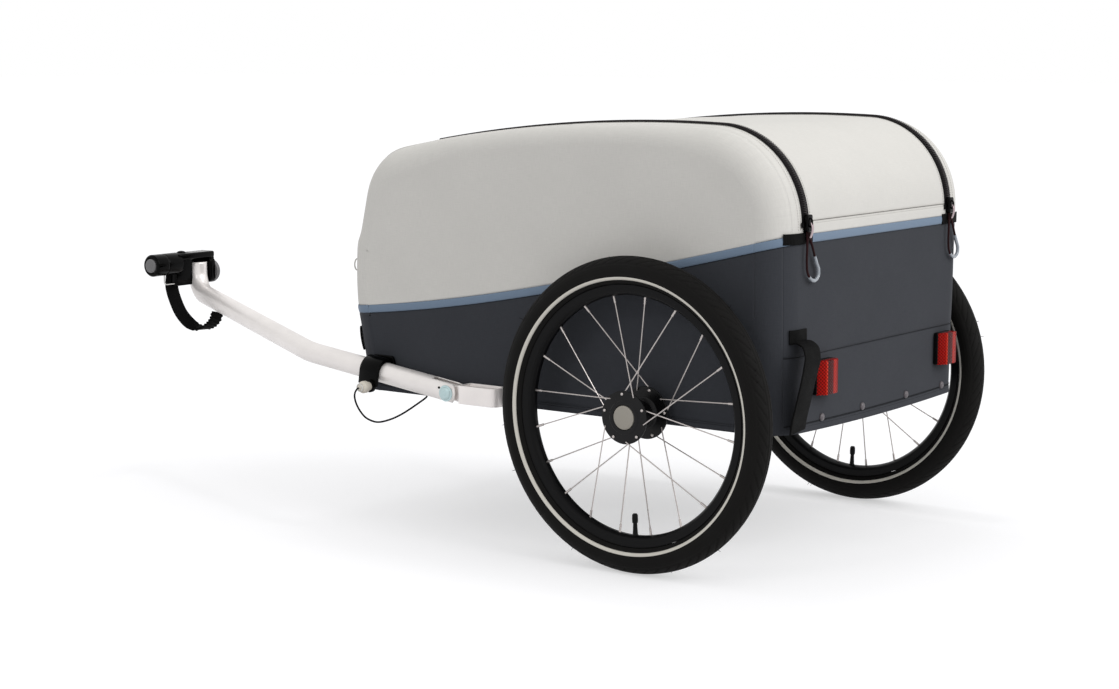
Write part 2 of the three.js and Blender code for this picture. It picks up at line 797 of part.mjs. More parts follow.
function addZipEnds() {
  const back = boxRear - zipProud - gap;
  for (const [name, side] of Object.entries(sides)) {
    const foot = rearTrimTop + sliderFoot;
    const y = side * flare(zipOffset, foot);
    add(`zip_slider_${name}`, block(
      vector(back - sliderDepth, y - sliderWidth / 2, foot),
      vector(back, y + sliderWidth / 2, foot + sliderHeight),
    ), finishes.steel);
    const top = vector(back - sliderDepth / 2, y, foot - gap);
    add(`zip_pull_${name}`, cord(pullRoute(top), pullRadius, 22), finishes.pull);
  }
}

// A loop that hangs from the slider: down one leg, round the grip and back up the other
const pullLoop = [
  [0, 2.1, 0], [0, 2.1, -4], [-1.5, 4, -22], [-1.5, 4.5, -50],
  [-1.5, 2, -64], [-1.5, -8, -75], [-1.5, -20, -78],
  [-1.5, -30, -72], [-1.5, -31, -62], [-1.5, -24, -50], [-1.5, -12, -26], [0, -2.1, -4], [0, -2.1, 0],
];
const pullRoute = (top) => pullLoop.map(([x, y, z]) => vector(top.x + x, top.y + y, top.z + z));

// Wheels: all of a wheel's own pieces are turned about its axle line, with its outer side towards +Y

function tyre() {
  const centre = wheelRadius - tyreSectionRadius;
  const seat = rimEdgeRadius + 2 * gap;
  const outer = [];
  const inner = [];
  const arcSteps = 8;
  const start = (radius) => Math.asin((seat + gap - centre) / radius);
  for (let i = 0; i <= arcSteps; i += 1) {
    const share = i / arcSteps;
    const outerStart = start(tyreSectionRadius);
    const outerTurn = THREE.MathUtils.lerp(outerStart, Math.PI - outerStart, share);
    outer.push([centre + tyreSectionRadius * Math.sin(outerTurn), tyreSectionRadius * Math.cos(outerTurn)]);
    if (i % 2 > 0) continue;
    const radius = tyreSectionRadius - tyreWall;
    const innerTurn = THREE.MathUtils.lerp(Math.PI - start(radius), start(radius), share);
    inner.push([centre + radius * Math.sin(innerTurn), radius * Math.cos(innerTurn)]);
  }
  const bead = rimSeatRadius + gap;
  const beadInner = beadWidth - tyreWall;
  return turned(closed([
    [bead, beadWidth], [seat, beadWidth], ...outer, [seat, -beadWidth], [bead, -beadWidth],
    [bead, -beadInner], ...inner, [bead, beadInner],
  ]), wheelSegments);
}

function rim() {
  const lip = rimHalfWidth - rimWall;
  const shoulder = rimHalfWidth - rimWall / 2;
  const well = (rimInnerRadius + rimSeatRadius) / 2;
  return turned(closed([
    [rimInnerRadius, -lip / 2], [well, -shoulder], [rimEdgeRadius, -rimHalfWidth], [rimEdgeRadius, -lip],
    [rimSeatRadius, -lip], [rimSeatRadius, lip], [rimEdgeRadius, lip], [rimEdgeRadius, rimHalfWidth],
    [well, shoulder], [rimInnerRadius, lip / 2],
  ]), wheelSegments);
}

// A hub with its spokes: every second spoke leads from each flange, crossing its neighbours.
function hub() {
  const bore = bearingRadius + gap;
  const recess = buttonRadius + gap;
  const outerFlangeBack = outerFlangeFace - flangeThickness;
  const innerFlangeBack = innerFlangeFace - flangeThickness;
  const shell = turned(closed([
    [bore, -hubInnerEnd], [hubBossRadius, -hubInnerEnd], [hubBossRadius, -innerFlangeFace],
    [flangeRadius, -innerFlangeFace], [flangeRadius, -innerFlangeBack], [hubBarrelRadius, -innerFlangeBack],
    [hubBossRadius, outerFlangeBack - buttonRecess], [hubBossRadius, outerFlangeBack],
    [flangeRadius, outerFlangeBack], [flangeRadius, outerFlangeFace],
    [recess, outerFlangeFace], [recess, outerFlangeFace - buttonRecess],
    [bore, outerFlangeFace - buttonRecess],
  ]), hubSegments);
  const spokes = Array.from({ length: spokeCount }, (unused, i) => spoke(i));
  return join(shell, ...spokes);
}

function spoke(index) {
  const onOuterFlange = index % 2 === 0;
  const leads = index % 4 === 0 || index % 4 === 3;
  const flangeMiddle = onOuterFlange
    ? outerFlangeFace - flangeThickness / 2
    : flangeThickness / 2 - innerFlangeFace;
  const rimAngle = firstSpokeAngle + index * (360 / spokeCount);
  const hubAngle = rimAngle + (leads ? leadingSpokeTurn : trailingSpokeTurn);
  const around = (radius, degrees, y) => {
    const angle = THREE.MathUtils.degToRad(degrees);
    return vector(radius * Math.cos(angle), y, radius * Math.sin(angle));
  };
  const root = around(spokeCircleRadius, hubAngle, flangeMiddle);
  const rimReach = rimInnerRadius * Math.cos(Math.PI / wheelSegments) - gap - nippleRadius / 4;
  const tip = around(rimReach, rimAngle, 0);
  const length = tip.distanceTo(root);
  const bar = turned([
    [0, 0], [spokeRadius, 0], [spokeRadius, length - nippleLength], [nippleRadius, length - nippleLength],
    [nippleRadius, length], [0, length],
  ], 5);
  const along = tip.clone().sub(root).normalize();
  const turn = new THREE.Quaternion().setFromUnitVectors(vector(0, 1, 0), along);
  return bar.applyQuaternion(turn).translate(...root);
}

function hubBearing() {
  const bore = axleRadius + gap;
  const from = -hubInnerEnd;
  const to = outerFlangeFace - buttonRecess;
  return turned(closed([[bore, from], [bearingRadius, from], [bearingRadius, to], [bore, to]]), hubSegments);
}

// A stub axle with a bore in its tip, and a release button whose stem slides in that bore
function stubAxle(tip) {
  const inner = axleInnerEnd - wheelOffset;
  return turned([
    [0, inner], [axleRadius, inner], [axleRadius, tip], [stemRadius + gap, tip],
    [stemRadius + gap, tip - stemBore], [0, tip - stemBore],
  ], 20);
}

function hubButton(tip) {
  const back = tip + gap + buttonTravel;
  const stemEnd = tip - stemBore + gap + buttonTravel;
  const top = outerFlangeFace + buttonProud;
  return turned([
    [0, stemEnd], [stemRadius, stemEnd], [stemRadius, back],
    [buttonRadius, back], [buttonRadius, top], [0, top],
  ], hubSegments);
}

function addWheels() {
  const tip = outerFlangeFace - buttonRecess;
  for (const [name, side] of Object.entries(sides)) {
    const wheel = new THREE.Group();
    wheel.position.set(0, side * wheelOffset, axleHeight);
    wheel.rotation.z = side > 0 ? 0 : Math.PI;
    trailer.add(wheel);
    add(`tyre_${name}`, tyre(), finishes.rubber, wheel);
    add(`rim_${name}`, rim(), finishes.rim, wheel);
    add(`hub_${name}`, hub(), finishes.black, wheel);
    add(`hub_bearing_${name}`, hubBearing(), finishes.steel, wheel);
    add(`stub_axle_${name}`, stubAxle(tip), finishes.steel, wheel);
    add(`hub_button_${name}`, hubButton(tip), finishes.grey, wheel);
  }
}

// Drawbar: hinge bracket, bolt, tube, saddle, lock pin and tether

const bracketMiddle = hingeHeight;
const bracketSwing = Math.hypot(barTail, barRadius) + 2 * gap;
const bracketFront = hingeAhead - bracketSwing;
const bracketRear = bracketFront - bracketLength;
const bossPlaces = [-1, 1].map((end) => (bracketFront + bracketRear) / 2 + end * (bossSpacing / 2));
const barAxisAt = (x) => hingeHeight + barRise * (x - hingeAhead);

// The outline in plan of a bar bent into a loop, with its two rear corners rounded
function loopOutline(path, rear, front, near, far, bend) {
  path.moveTo(rear + bend, near);
  path.lineTo(front, near);
  path.lineTo(front, far);
  path.lineTo(rear + bend, far);
  path.quadraticCurveTo(rear, far, rear, far - bend);
  path.lineTo(rear, near + bend);
  path.quadraticCurveTo(rear, near, rear + bend, near);
  return path;
}

function drawbarBracket() {
  const [near, far] = [barOffset - barRadius, barOffset + barRadius];
  const bandHalf = bracketHeight / 2;
  const loop = loopOutline(new THREE.Shape(), bracketRear, bracketFront, near, far, bracketCorner);
  loop.holes.push(loopOutline(
    new THREE.Path(), bracketRear + bracketWall, bracketFront - bracketWall,
    near + bracketWall, far - bracketWall,
    bracketCorner - bracketWall,
  ));
  const band = prism(loop, 'z', bracketMiddle - bandHalf, bracketMiddle + bandHalf, 4);

  const tongueHalf = tongueHeight / 2;
  const side = new THREE.Shape();
  side.moveTo(bracketFront - bracketWall / 2, hingeHeight - tongueHalf);
  side.lineTo(hingeAhead, hingeHeight - tongueHalf);
  side.absarc(hingeAhead, hingeHeight, tongueHalf, -quarterTurn, quarterTurn);
  side.lineTo(bracketFront - bracketWall / 2, hingeHeight + tongueHalf);
  side.holes.push(roundHole(hingeAhead, hingeHeight, boltRadius));
  const breadth = tongueThickness / 2;
  const tongue = prism(side, 'y', barOffset - breadth, barOffset + breadth, holeSides / 2);

  const bossRoot = near + bracketWall / 2;
  const bosses = bossPlaces.map((x) => rod('y', x, bracketMiddle, bossRadius, bossEnd, bossRoot, 3));
  return join(band, tongue, ...bosses);
}

const bossEnd = hoopOffset + railSize / 2 + gap;

// A bolt across the tube's fork: a six-sided head outboard, and a nut on its inner end
function hingeBolt() {
  const outer = barOffset + barRadius + gap;
  const inner = barOffset - barRadius - gap;
  const nutEnd = Math.max(inner - boltHeadHeight, sideAt(hingeHeight + boltHeadRadius) + gap);
  return join(
    rod('y', hingeAhead, hingeHeight, boltRadius, nutEnd, outer + boltHeadHeight / 2, 3),
    hexagon(outer, outer + boltHeadHeight),
    hexagon(nutEnd, inner),
  );
}

function hexagon(from, to) {
  const corners = Array.from({ length: 6 }, (unused, i) => new THREE.Vector2(
    hingeAhead + boltHeadRadius * Math.cos((i * Math.PI) / 3),
    hingeHeight + boltHeadRadius * Math.sin((i * Math.PI) / 3),
  ));
  return prism(new THREE.Shape(corners), 'y', from, to);
}

function barLine() {
  const tail = hingeAhead - barTail;
  const firstHeight = barAxisAt(barFirstCorner);
  const elbowHeight = firstHeight + secondLegRise * (couplingAhead - barFirstCorner);
  return bentLine([
    vector(tail, barOffset, barAxisAt(tail)),
    vector(barFirstCorner, barOffset, firstHeight),
    vector(couplingAhead, couplingOffset, elbowHeight),
    vector(couplingAhead, couplingOffset, barTopHeight),
  ], [barFirstBend, barSecondBend], 6);
}

function drawbarTube() {
  const slotEnd = hingeAhead + barSlotLength;
  const slotHalf = barSlotWidth / 2;
  const slot = block(
    vector(hingeAhead - barTail - overrun - barRadius, barOffset - slotHalf, hingeHeight - 2 * barRadius),
    vector(slotEnd, barOffset + slotHalf, hingeHeight + 2 * barRadius),
  );
  const reach = barRadius + overrun;
  const boltHole = rod('y', hingeAhead, hingeHeight, boltRadius + gap, barOffset - reach, barOffset + reach);
  const pinHole = rod(
    'y', couplingAhead, pivotHeight, pivotRadius + gap, couplingOffset - reach, couplingOffset + reach,
  );
  return cut(tube(barLine(), barRadius, barWall, 3), slot, boltHole, pinHole);
}

// A flange on the box's side, a plate over the tube and a wall down its outer side, with a lug for the pin
function barSaddle() {
  const near = sideAt(saddleFlangeTop) + gap;
  const outer = barOffset + barRadius + 2 * gap;
  const [rear, front] = [saddleAhead - saddleLength / 2, saddleAhead + saddleLength / 2];
  const plateFoot = barAxisAt(front) + barRadius / Math.cos(Math.atan(barRise)) + saddleClearance;
  const corner = vector(front, outer + saddleWall, plateFoot + saddlePlate);
  const plate = block(vector(rear, near, plateFoot), corner);
  const wall = block(vector(rear, outer, pinHeight), corner);
  const flange = block(
    vector(saddleAhead - flangeLength / 2, near, plateFoot),
    vector(saddleAhead + flangeLength / 2, near + flangePlate, saddleFlangeTop),
  );
  const lug = rod('y', pinAhead, pinHeight, lugRadius, outer, outer + saddleWall);
  const hole = rod(
    'y', pinAhead, pinHeight, pinRadius + gap, outer - overrun, outer + saddleWall + overrun, 3,
  );
  return cut(join(plate, wall, flange, lug), hole);
}

const saddleFlangeTop =
  barAxisAt(saddleAhead + saddleLength / 2) + barRadius + saddleClearance + flangeHeight;

function lockPin() {
  const outer = barOffset + barRadius + 2 * gap;
  const knobFoot = outer + saddleWall + gap;
  const waist = knobRadius * waistShare;
  return turned([
    [0, outer], [pinRadius, outer], [pinRadius, knobFoot], [waist, knobFoot],
    [waist, knobFoot + knobLength / 4], [knobRadius, knobFoot + knobLength / 3],
    [knobRadius, knobFoot + knobLength - pinRadius], [waist, knobFoot + knobLength],
    [0, knobFoot + knobLength],
  ], 20).translate(pinAhead, 0, pinHeight);
}

const waistShare = 0.7;

// The tether hangs from the knob under the tube and is tied to the box's hem.
const tetherRoute = [
  vector(556, 372.6, 244), vector(556.5, 374.5, 243.4), vector(559, 377, 239), vector(562, 376.5, 231),
  vector(564, 371, 218), vector(561, 364, 203), vector(554, 357, 191), vector(542, 350, 184.6),
  vector(533, 345, 184), vector(518, 336, 188.6), vector(503, 327, 196.6), vector(489.4, 317, 207),
  vector(475.4, 307, 219.1), vector(468, 300, 226.5), vector(466.5, 298.3, 229.5),
];

function addDrawbar() {
  add('drawbar_bracket', drawbarBracket(), finishes.aluminium);
  add('hinge_bolt', hingeBolt(), finishes.steel);
  add('drawbar_tube', drawbarTube(), finishes.aluminium);
  add('bar_saddle', barSaddle(), finishes.black);
  add('lock_pin', lockPin(), finishes.grey);
  add('lock_tether', cord(tetherRoute, tetherRadius, 26), finishes.webbing);
}

// Coupling on the drawbar's upright end

const couplingCrown = pivotHeight + Math.hypot(barRadius, barTopHeight - pivotHeight) + gap;
const farCheekInner = couplingOffset - barRadius - gap;
const farCheekFoot = pivotHeight - farCheekDrop;
const farCheekRadius = (couplingCrown - farCheekFoot) / 2;

function couplingBody() {
  const crownRadius = couplingCrown - pivotHeight;
  const farOuter = farCheekInner - farCheekWidth;
  const pivotHole = (from, to) =>
    rod('y', couplingAhead, pivotHeight, pivotRadius + gap, from - overrun, to + overrun, 3);
  const drum = rod('y', couplingAhead, couplingHeight, couplingRadius, cheekInner, couplingEnd, 6);
  const cheek = block(
    vector(couplingAhead - cheekHalfLength, cheekInner, pivotHeight - cheekDrop),
    vector(couplingAhead + cheekHalfLength, cheekOuter, couplingHeight),
  );
  const boss = rod(
    'y', couplingAhead, pivotHeight, pivotBossRadius,
    couplingOffset + barRadius + 4 * gap, cheekInner + overrun, 3,
  );
  const arch = block(
    vector(couplingAhead - cheekHalfLength, farOuter, pivotHeight),
    vector(couplingAhead + cheekHalfLength, cheekInner + overrun, couplingCrown + archThickness),
  );
  const room = rod('y', couplingAhead, pivotHeight, crownRadius, farCheekInner, cheekInner, 6);
  const under = block(
    vector(couplingAhead - 2 * crownRadius, farCheekInner, pivotHeight - crownRadius),
    vector(couplingAhead + 2 * crownRadius, cheekInner, pivotHeight + gap),
  );
  const farCheekMiddle = farCheekFoot + farCheekRadius;
  const farCheek = rod('y', couplingAhead, farCheekMiddle, farCheekRadius, farOuter, farCheekInner);
  const shell = join(cut(arch, room, under), farCheek, drum, cheek, boss);
  const socket = rod('x', socketPocketOffset, couplingHeight, socketPocketRadius,
    couplingAhead + couplingRadius - socketPocketDepth, couplingAhead + couplingRadius + overrun);
  const pressPocket = rod('y', couplingAhead, couplingHeight, pressRadius + gap,
    couplingEnd - pressDepth, couplingEnd + overrun, 5);
  return cut(shell, pivotHole(farOuter, cheekOuter), socket, pressPocket);
}

function couplingPin() {
  const farOuter = farCheekInner - farCheekWidth - gap;
  return join(
    rod('y', couplingAhead, pivotHeight, pivotRadius, farOuter - pinCapHeight / 2, cheekOuter, 3),
    rod('y', couplingAhead, pivotHeight, pinCapRadius, farOuter - pinCapHeight, farOuter),
  );
}

function wireClip() {
  const inner = cheekOuter + gap;
  const top = couplingHeight - couplingRadius - gap;
  const foot = pivotHeight - clipDrop;
  return tube(bentLine([
    vector(couplingAhead, clipOuter, top),
    vector(couplingAhead, clipOuter, foot),
    vector(couplingAhead, inner, foot),
  ], [clipBend], 4), clipRadius, 0, 2);
}

// The safety strap hangs from under the coupling and runs back up to the tube's underside.
const safetyStrapRoute = [
  vector(1196, 184, pivotHeight + safetyStrapTopRise), vector(1197.5, 184, pivotHeight - 11),
  vector(1198.5, 184, 360), vector(1192, 182, 335),
  vector(1180, 176, 306), vector(1165, 165, 286), vector(1146, 156, 280), vector(1127, 153, 287),
  vector(1114, 152, 300), vector(1110, 151, 313),
];

function addCoupling() {
  add('coupling_body', couplingBody(), finishes.black);
  const press = add('coupling_button', rod(
    'y', 0, 0, pressRadius, pressProud - pressLength, pressProud, 5,
  ), finishes.grey);
  press.position.set(couplingAhead, couplingEnd, couplingHeight);
  add('coupling_pin', couplingPin(), finishes.grey);
  add('wire_clip', wireClip(), finishes.steel);
  add('safety_strap', strap(safetyStrapRoute, safetyStrapWidth, safetyStrapThickness, 16), finishes.webbing);
}

addFrame();
addSkin();
addRearTrim();
addZipEnds();
addWheels();
addDrawbar();
addCoupling();

// The origin is the middle of the footprint, between the reflectors' faces and the coupling's front.
const frontReach = couplingAhead + Math.max(couplingRadius, farCheekRadius);
const rearReach = Math.max(wheelRadius, reflectorDepth + gap - boxRear);
trailer.position.x = (rearReach - frontReach) / 2;

const cargoTrailer = new THREE.Group();
cargoTrailer.add(trailer);

export default cargoTrailer;
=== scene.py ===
"""Cargo bike trailer: its cloth, webbing, rubber, wheels and drawbar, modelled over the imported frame.

Lengths in this file are millimetres, measured from the middle of the axle line on the ground:
x is forward, y is the trailer's left and z is up. metres() turns them into the frame's own metres.
"""
import math

import bmesh
import bpy
import numpy as np
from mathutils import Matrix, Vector


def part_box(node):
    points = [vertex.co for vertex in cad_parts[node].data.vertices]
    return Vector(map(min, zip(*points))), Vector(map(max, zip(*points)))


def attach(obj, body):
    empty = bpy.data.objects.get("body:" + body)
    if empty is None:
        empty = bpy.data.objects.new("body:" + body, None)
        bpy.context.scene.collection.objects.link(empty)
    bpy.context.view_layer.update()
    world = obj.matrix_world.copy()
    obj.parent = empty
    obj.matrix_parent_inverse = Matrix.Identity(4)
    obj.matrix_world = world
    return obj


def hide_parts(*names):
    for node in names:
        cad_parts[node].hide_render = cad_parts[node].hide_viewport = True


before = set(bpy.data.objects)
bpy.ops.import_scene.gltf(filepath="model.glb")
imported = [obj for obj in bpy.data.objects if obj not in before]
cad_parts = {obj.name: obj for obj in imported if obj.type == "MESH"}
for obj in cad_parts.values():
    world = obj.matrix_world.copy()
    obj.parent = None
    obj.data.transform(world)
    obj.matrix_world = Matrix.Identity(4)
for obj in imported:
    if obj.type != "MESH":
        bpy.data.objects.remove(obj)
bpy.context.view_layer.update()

bearing_low, bearing_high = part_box("hub_bearing_left")
AXLE_LINE = np.array([(bearing_low[0] + bearing_high[0]) / 2, 0.0, 0.0])
FULL_TURN = 2 * math.pi
QUARTER_TURN = math.pi / 2
SIDES = {"left": 1, "right": -1}


def metres(points):
    """Millimetres from the axle line turned into the frame's metres."""
    return np.asarray(points, float) / 1000 + AXLE_LINE


def mm_box(node):
    """A node's low and high corners in millimetres from the axle line."""
    return [(np.array(corner) - AXLE_LINE) * 1000 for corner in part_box(node)]


def into_scene(name, data):
    """A new object of the scene that holds a mesh, a lamp or a camera."""
    made = bpy.data.objects.new(name, data)
    bpy.context.scene.collection.objects.link(made)
    return made


# Camera

CAMERA_PLACE = (-1935.7, 3196.0, 826.0)
CAMERA_YAW = math.radians(-53.776)
CAMERA_PITCH = math.radians(-7.703)
SENSOR_WIDTH = 36
LENS = 71.77

camera_data = bpy.data.cameras.new("camera")
camera_data.sensor_width = SENSOR_WIDTH
camera_data.lens = LENS
camera = into_scene("camera", camera_data)
camera.location = metres(CAMERA_PLACE)
camera.rotation_euler = Vector((
    math.cos(CAMERA_PITCH) * math.cos(CAMERA_YAW),
    math.cos(CAMERA_PITCH) * math.sin(CAMERA_YAW),
    math.sin(CAMERA_PITCH),
)).to_track_quat("-Z", "Y").to_euler()
bpy.context.scene.camera = camera


# Finishes

def colour(text):
    """A screen colour such as "808080" as the linear colour that the shader takes."""
    parts = np.array([int(text[i:i + 2], 16) for i in (0, 2, 4)]) / 255
    linear = np.where(parts <= 0.04045, parts / 12.92, ((parts + 0.055) / 1.055) ** 2.4)
    return (*linear, 1.0)


class Socket:
    """A value in a finish's node tree. Arithmetic on it adds Math nodes."""

    def __init__(self, finish, socket):
        self.finish = finish
        self.socket = socket

    def maths(self, operation, *values):
        return self.finish.node("Math", dict(enumerate(values)), operation=operation)

    def __add__(self, other):
        return self.maths("ADD", self, other)

    def __mul__(self, other):
        return self.maths("MULTIPLY", self, other)

    __radd__ = __add__
    __rmul__ = __mul__

    def sine(self):
        return self.maths("SINE", self)


class Finish:
    """A material around one Principled shader."""

    def __init__(self, name, base, roughness, **fixed):
        self.material = bpy.data.materials.new(name)
        self.material.use_nodes = True
        self.tree = self.material.node_tree
        self.shader = self.tree.nodes["Principled BSDF"]
        self.base = colour(base)
        self.set(**{"Base Color": self.base, "Roughness": roughness})
        self.set(**{
            key.replace("_", " ").title().replace("Ior", "IOR"): value for key, value in fixed.items()
        })

    def set(self, **values):
        for key, value in values.items():
            self.plug(value, self.shader.inputs[key])

    def plug(self, value, socket):
        if isinstance(value, Socket):
            self.tree.links.new(value.socket, socket)
        else:
            socket.default_value = value

    def node(self, kind, values=None, output=0, stops=None, **settings):
        """Any node: its settings first, then the values or links of its sockets."""
        node = self.tree.nodes.new("ShaderNode" + kind)
        for key, value in settings.items():
            setattr(node, key, value)
        if stops:
            ramp = node.color_ramp
            for k, (place, tone) in enumerate(stops):
                element = ramp.elements[k] if k < 2 else ramp.elements.new(place)
                element.position = place
                element.color = tone if isinstance(tone, tuple) else (tone, tone, tone, 1)
        for key, value in (values or {}).items():
            self.plug(value, node.inputs[key])
        return Socket(self, node.outputs[output])

    def place(self, kind="Object"):
        return self.node("TexCoord", output=kind)

    def stretched(self, place, scale):
        return self.node("Mapping", {"Vector": place, "Scale": scale})

    def noise(self, place, scale, detail=3.0, roughness=0.55):
        return self.node("TexNoise", {
            "Vector": place, "Scale": scale, "Detail": detail, "Roughness": roughness,
        })

    def ramp(self, value, low, high, dark=0.0, light=1.0):
        return self.node("ValToRGB", {"Fac": value}, stops=[(low, dark), (high, light)])

    def tint(self, amount, first, second):
        return self.node("Mix", {0: amount, 6: first, 7: second}, output=2, data_type="RGBA")

    def relief(self, height, distance, strength=1.0):
        return self.node("Bump", {"Height": height, "Distance": distance, "Strength": strength})


def shade(base, amount):
    return (*(min(1.0, part * amount) for part in base[:3]), 1.0)


SLUBS = (60, 1100)


def woven(name, base, thread, roughness, relief, streak=0.05, sheen=0.1, gloss=0.2):
    """Plain-woven cloth: two crossed rows of threads, with thicker and paler threads here and there."""
    cloth = Finish(name, base, roughness, sheen_weight=sheen, sheen_roughness=0.5, specular_ior_level=gloss)
    place = cloth.place("UV")
    split = {axis: cloth.node("SeparateXYZ", {0: place}, output=axis) for axis in ("X", "Y")}
    turns = FULL_TURN / (2 * thread)
    warp = (split["X"] * turns).sine()
    weft = (split["Y"] * turns).sine()
    weave = warp * weft
    across = cloth.noise(cloth.stretched(place, (*SLUBS, 1)), 1.0)
    along = cloth.noise(cloth.stretched(place, (*SLUBS[::-1], 1)), 1.0)
    slubs = (across + along) * 0.5
    cloud = cloth.noise(place, 9.0)
    tone = cloth.tint(
        cloth.ramp(slubs, 0.35, 0.65), shade(cloth.base, 1 - streak), shade(cloth.base, 1 + streak),
    )
    tone = cloth.tint(cloth.ramp(cloud, 0.3, 0.7, 0.0, 0.35), tone, shade(cloth.base, 0.93))
    height = weave * 0.5 + slubs
    cloth.set(**{
        "Base Color": tone,
        "Roughness": cloth.ramp(cloud, 0.2, 0.8, roughness - 0.06, roughness + 0.06),
        "Normal": cloth.relief(height, relief),
    })
    return cloth.material


def ribbed(name, base, rib, roughness, relief):
    """Webbing: ribs along its length crossed by fine picks, and a dull sheen painted as paler patches in its
    colour, which also vary its roughness.
    """
    band = Finish(name, base, roughness, specular_ior_level=0.1)
    place = band.place("UV")
    across = band.node("SeparateXYZ", {0: place}, output="X")
    along = band.node("SeparateXYZ", {0: place}, output="Y")
    ribs = (across * (FULL_TURN / rib)).sine()
    picks = (along * (FULL_TURN / (rib * 0.6))).sine()
    sheen_patches = band.noise(place, 40.0)
    # Painted sheen: the patches lift the colour to twice the base.
    tone = band.tint(band.ramp(sheen_patches, 0.35, 0.75), band.base, shade(band.base, 2.0))
    band.set(**{
        "Base Color": tone,
        "Roughness": band.ramp(sheen_patches, 0.2, 0.8, roughness - 0.1, roughness + 0.08),
        "Normal": band.relief(ribs + picks * 0.5, relief),
    })
    return band.material


def moulded(name, base, roughness, grain=0.00012, coat=0.0, lift=1.5, scale=900.0, **fixed):
    """Moulded plastic or rubber: fine grain, dull patches and dusty, paler high spots."""
    plastic = Finish(name, base, roughness, coat_weight=coat, coat_roughness=0.2, **fixed)
    place = plastic.place()
    fine = plastic.noise(place, scale, 2.0)
    worn = plastic.noise(place, 28.0, 5.0)
    tone = plastic.tint(plastic.ramp(worn, 0.48, 0.8, 0.0, 0.6), plastic.base, shade(plastic.base, lift))
    plastic.set(**{
        "Base Color": tone,
        "Roughness": plastic.ramp(worn, 0.25, 0.75, max(0.05, roughness - 0.07), roughness + 0.08),
        "Normal": plastic.relief(fine, grain),
    })
    return plastic.material


def metal(name, base, roughness, brushed=(1, 1, 1), grain=0.00003, spread=0.08, metallic=1.0):
    """Metal with brush marks drawn out along one direction, and cloudy handling marks."""
    bare = Finish(name, base, roughness, metallic=metallic)
    place = bare.place()
    lines = bare.noise(bare.stretched(place, brushed), 600.0, 2.0)
    cloud = bare.noise(place, 18.0, 4.0)
    marks = lines * 0.4 + cloud * 0.6
    bare.set(**{
        "Base Color": bare.tint(bare.ramp(cloud, 0.3, 0.8), bare.base, shade(bare.base, 0.9)),
        "Roughness": bare.ramp(marks, 0.3, 0.7, max(0.05, roughness - spread), roughness + spread),
        "Normal": bare.relief(lines, grain),
    })
    return bare.material


PRISM = FULL_TURN / 0.0055
LENS_BANDS_PER_METRE = 16
# Painted light: the pale bands are painted highlights and the darkest ones painted shade, by place round the
# lens's plan.
LENS_PAINTED_LIGHT_BANDS = [
    (0.0, "8E0C06"), (0.25, "A8140A"), (0.28, "E0402A"), (0.31, "640805"), (0.36, "3A0302"), (0.56, "560504"),
    (0.59, "A81A0E"), (0.66, "C02414"), (0.76, "900E07"), (0.86, "4A0504"),
]


def reflector_red():
    """A red lens: small prisms, sin U * sin V, over bands of painted highlight and painted shade that follow
    U round its plan, and a painted glow of the same colour.
    """
    # The emission is a painted glow: the lens gives off its own colour though it is no lamp.
    lens = Finish("reflector_red", "C01010", 0.15, specular_ior_level=0.06, emission_strength=0.10)
    place = lens.place("UV")
    across = lens.node("SeparateXYZ", {0: place}, output="X")
    up = lens.node("SeparateXYZ", {0: place}, output="Y")
    cells = (across * PRISM).sine() * (up * PRISM).sine()
    bands = lens.node("ValToRGB", {"Fac": across * LENS_BANDS_PER_METRE}, stops=[
        (place_on_lens, colour(tone)) for place_on_lens, tone in LENS_PAINTED_LIGHT_BANDS
    ])
    facets = lens.ramp(cells * 0.5 + 0.5, 0.3, 0.6, 0.3, 1.0)
    tone = lens.tint(facets, colour("2A0202"), bands)
    lens.set(**{"Base Color": tone, "Emission Color": tone, "Normal": lens.relief(cells, 0.0003)})
    return lens.material


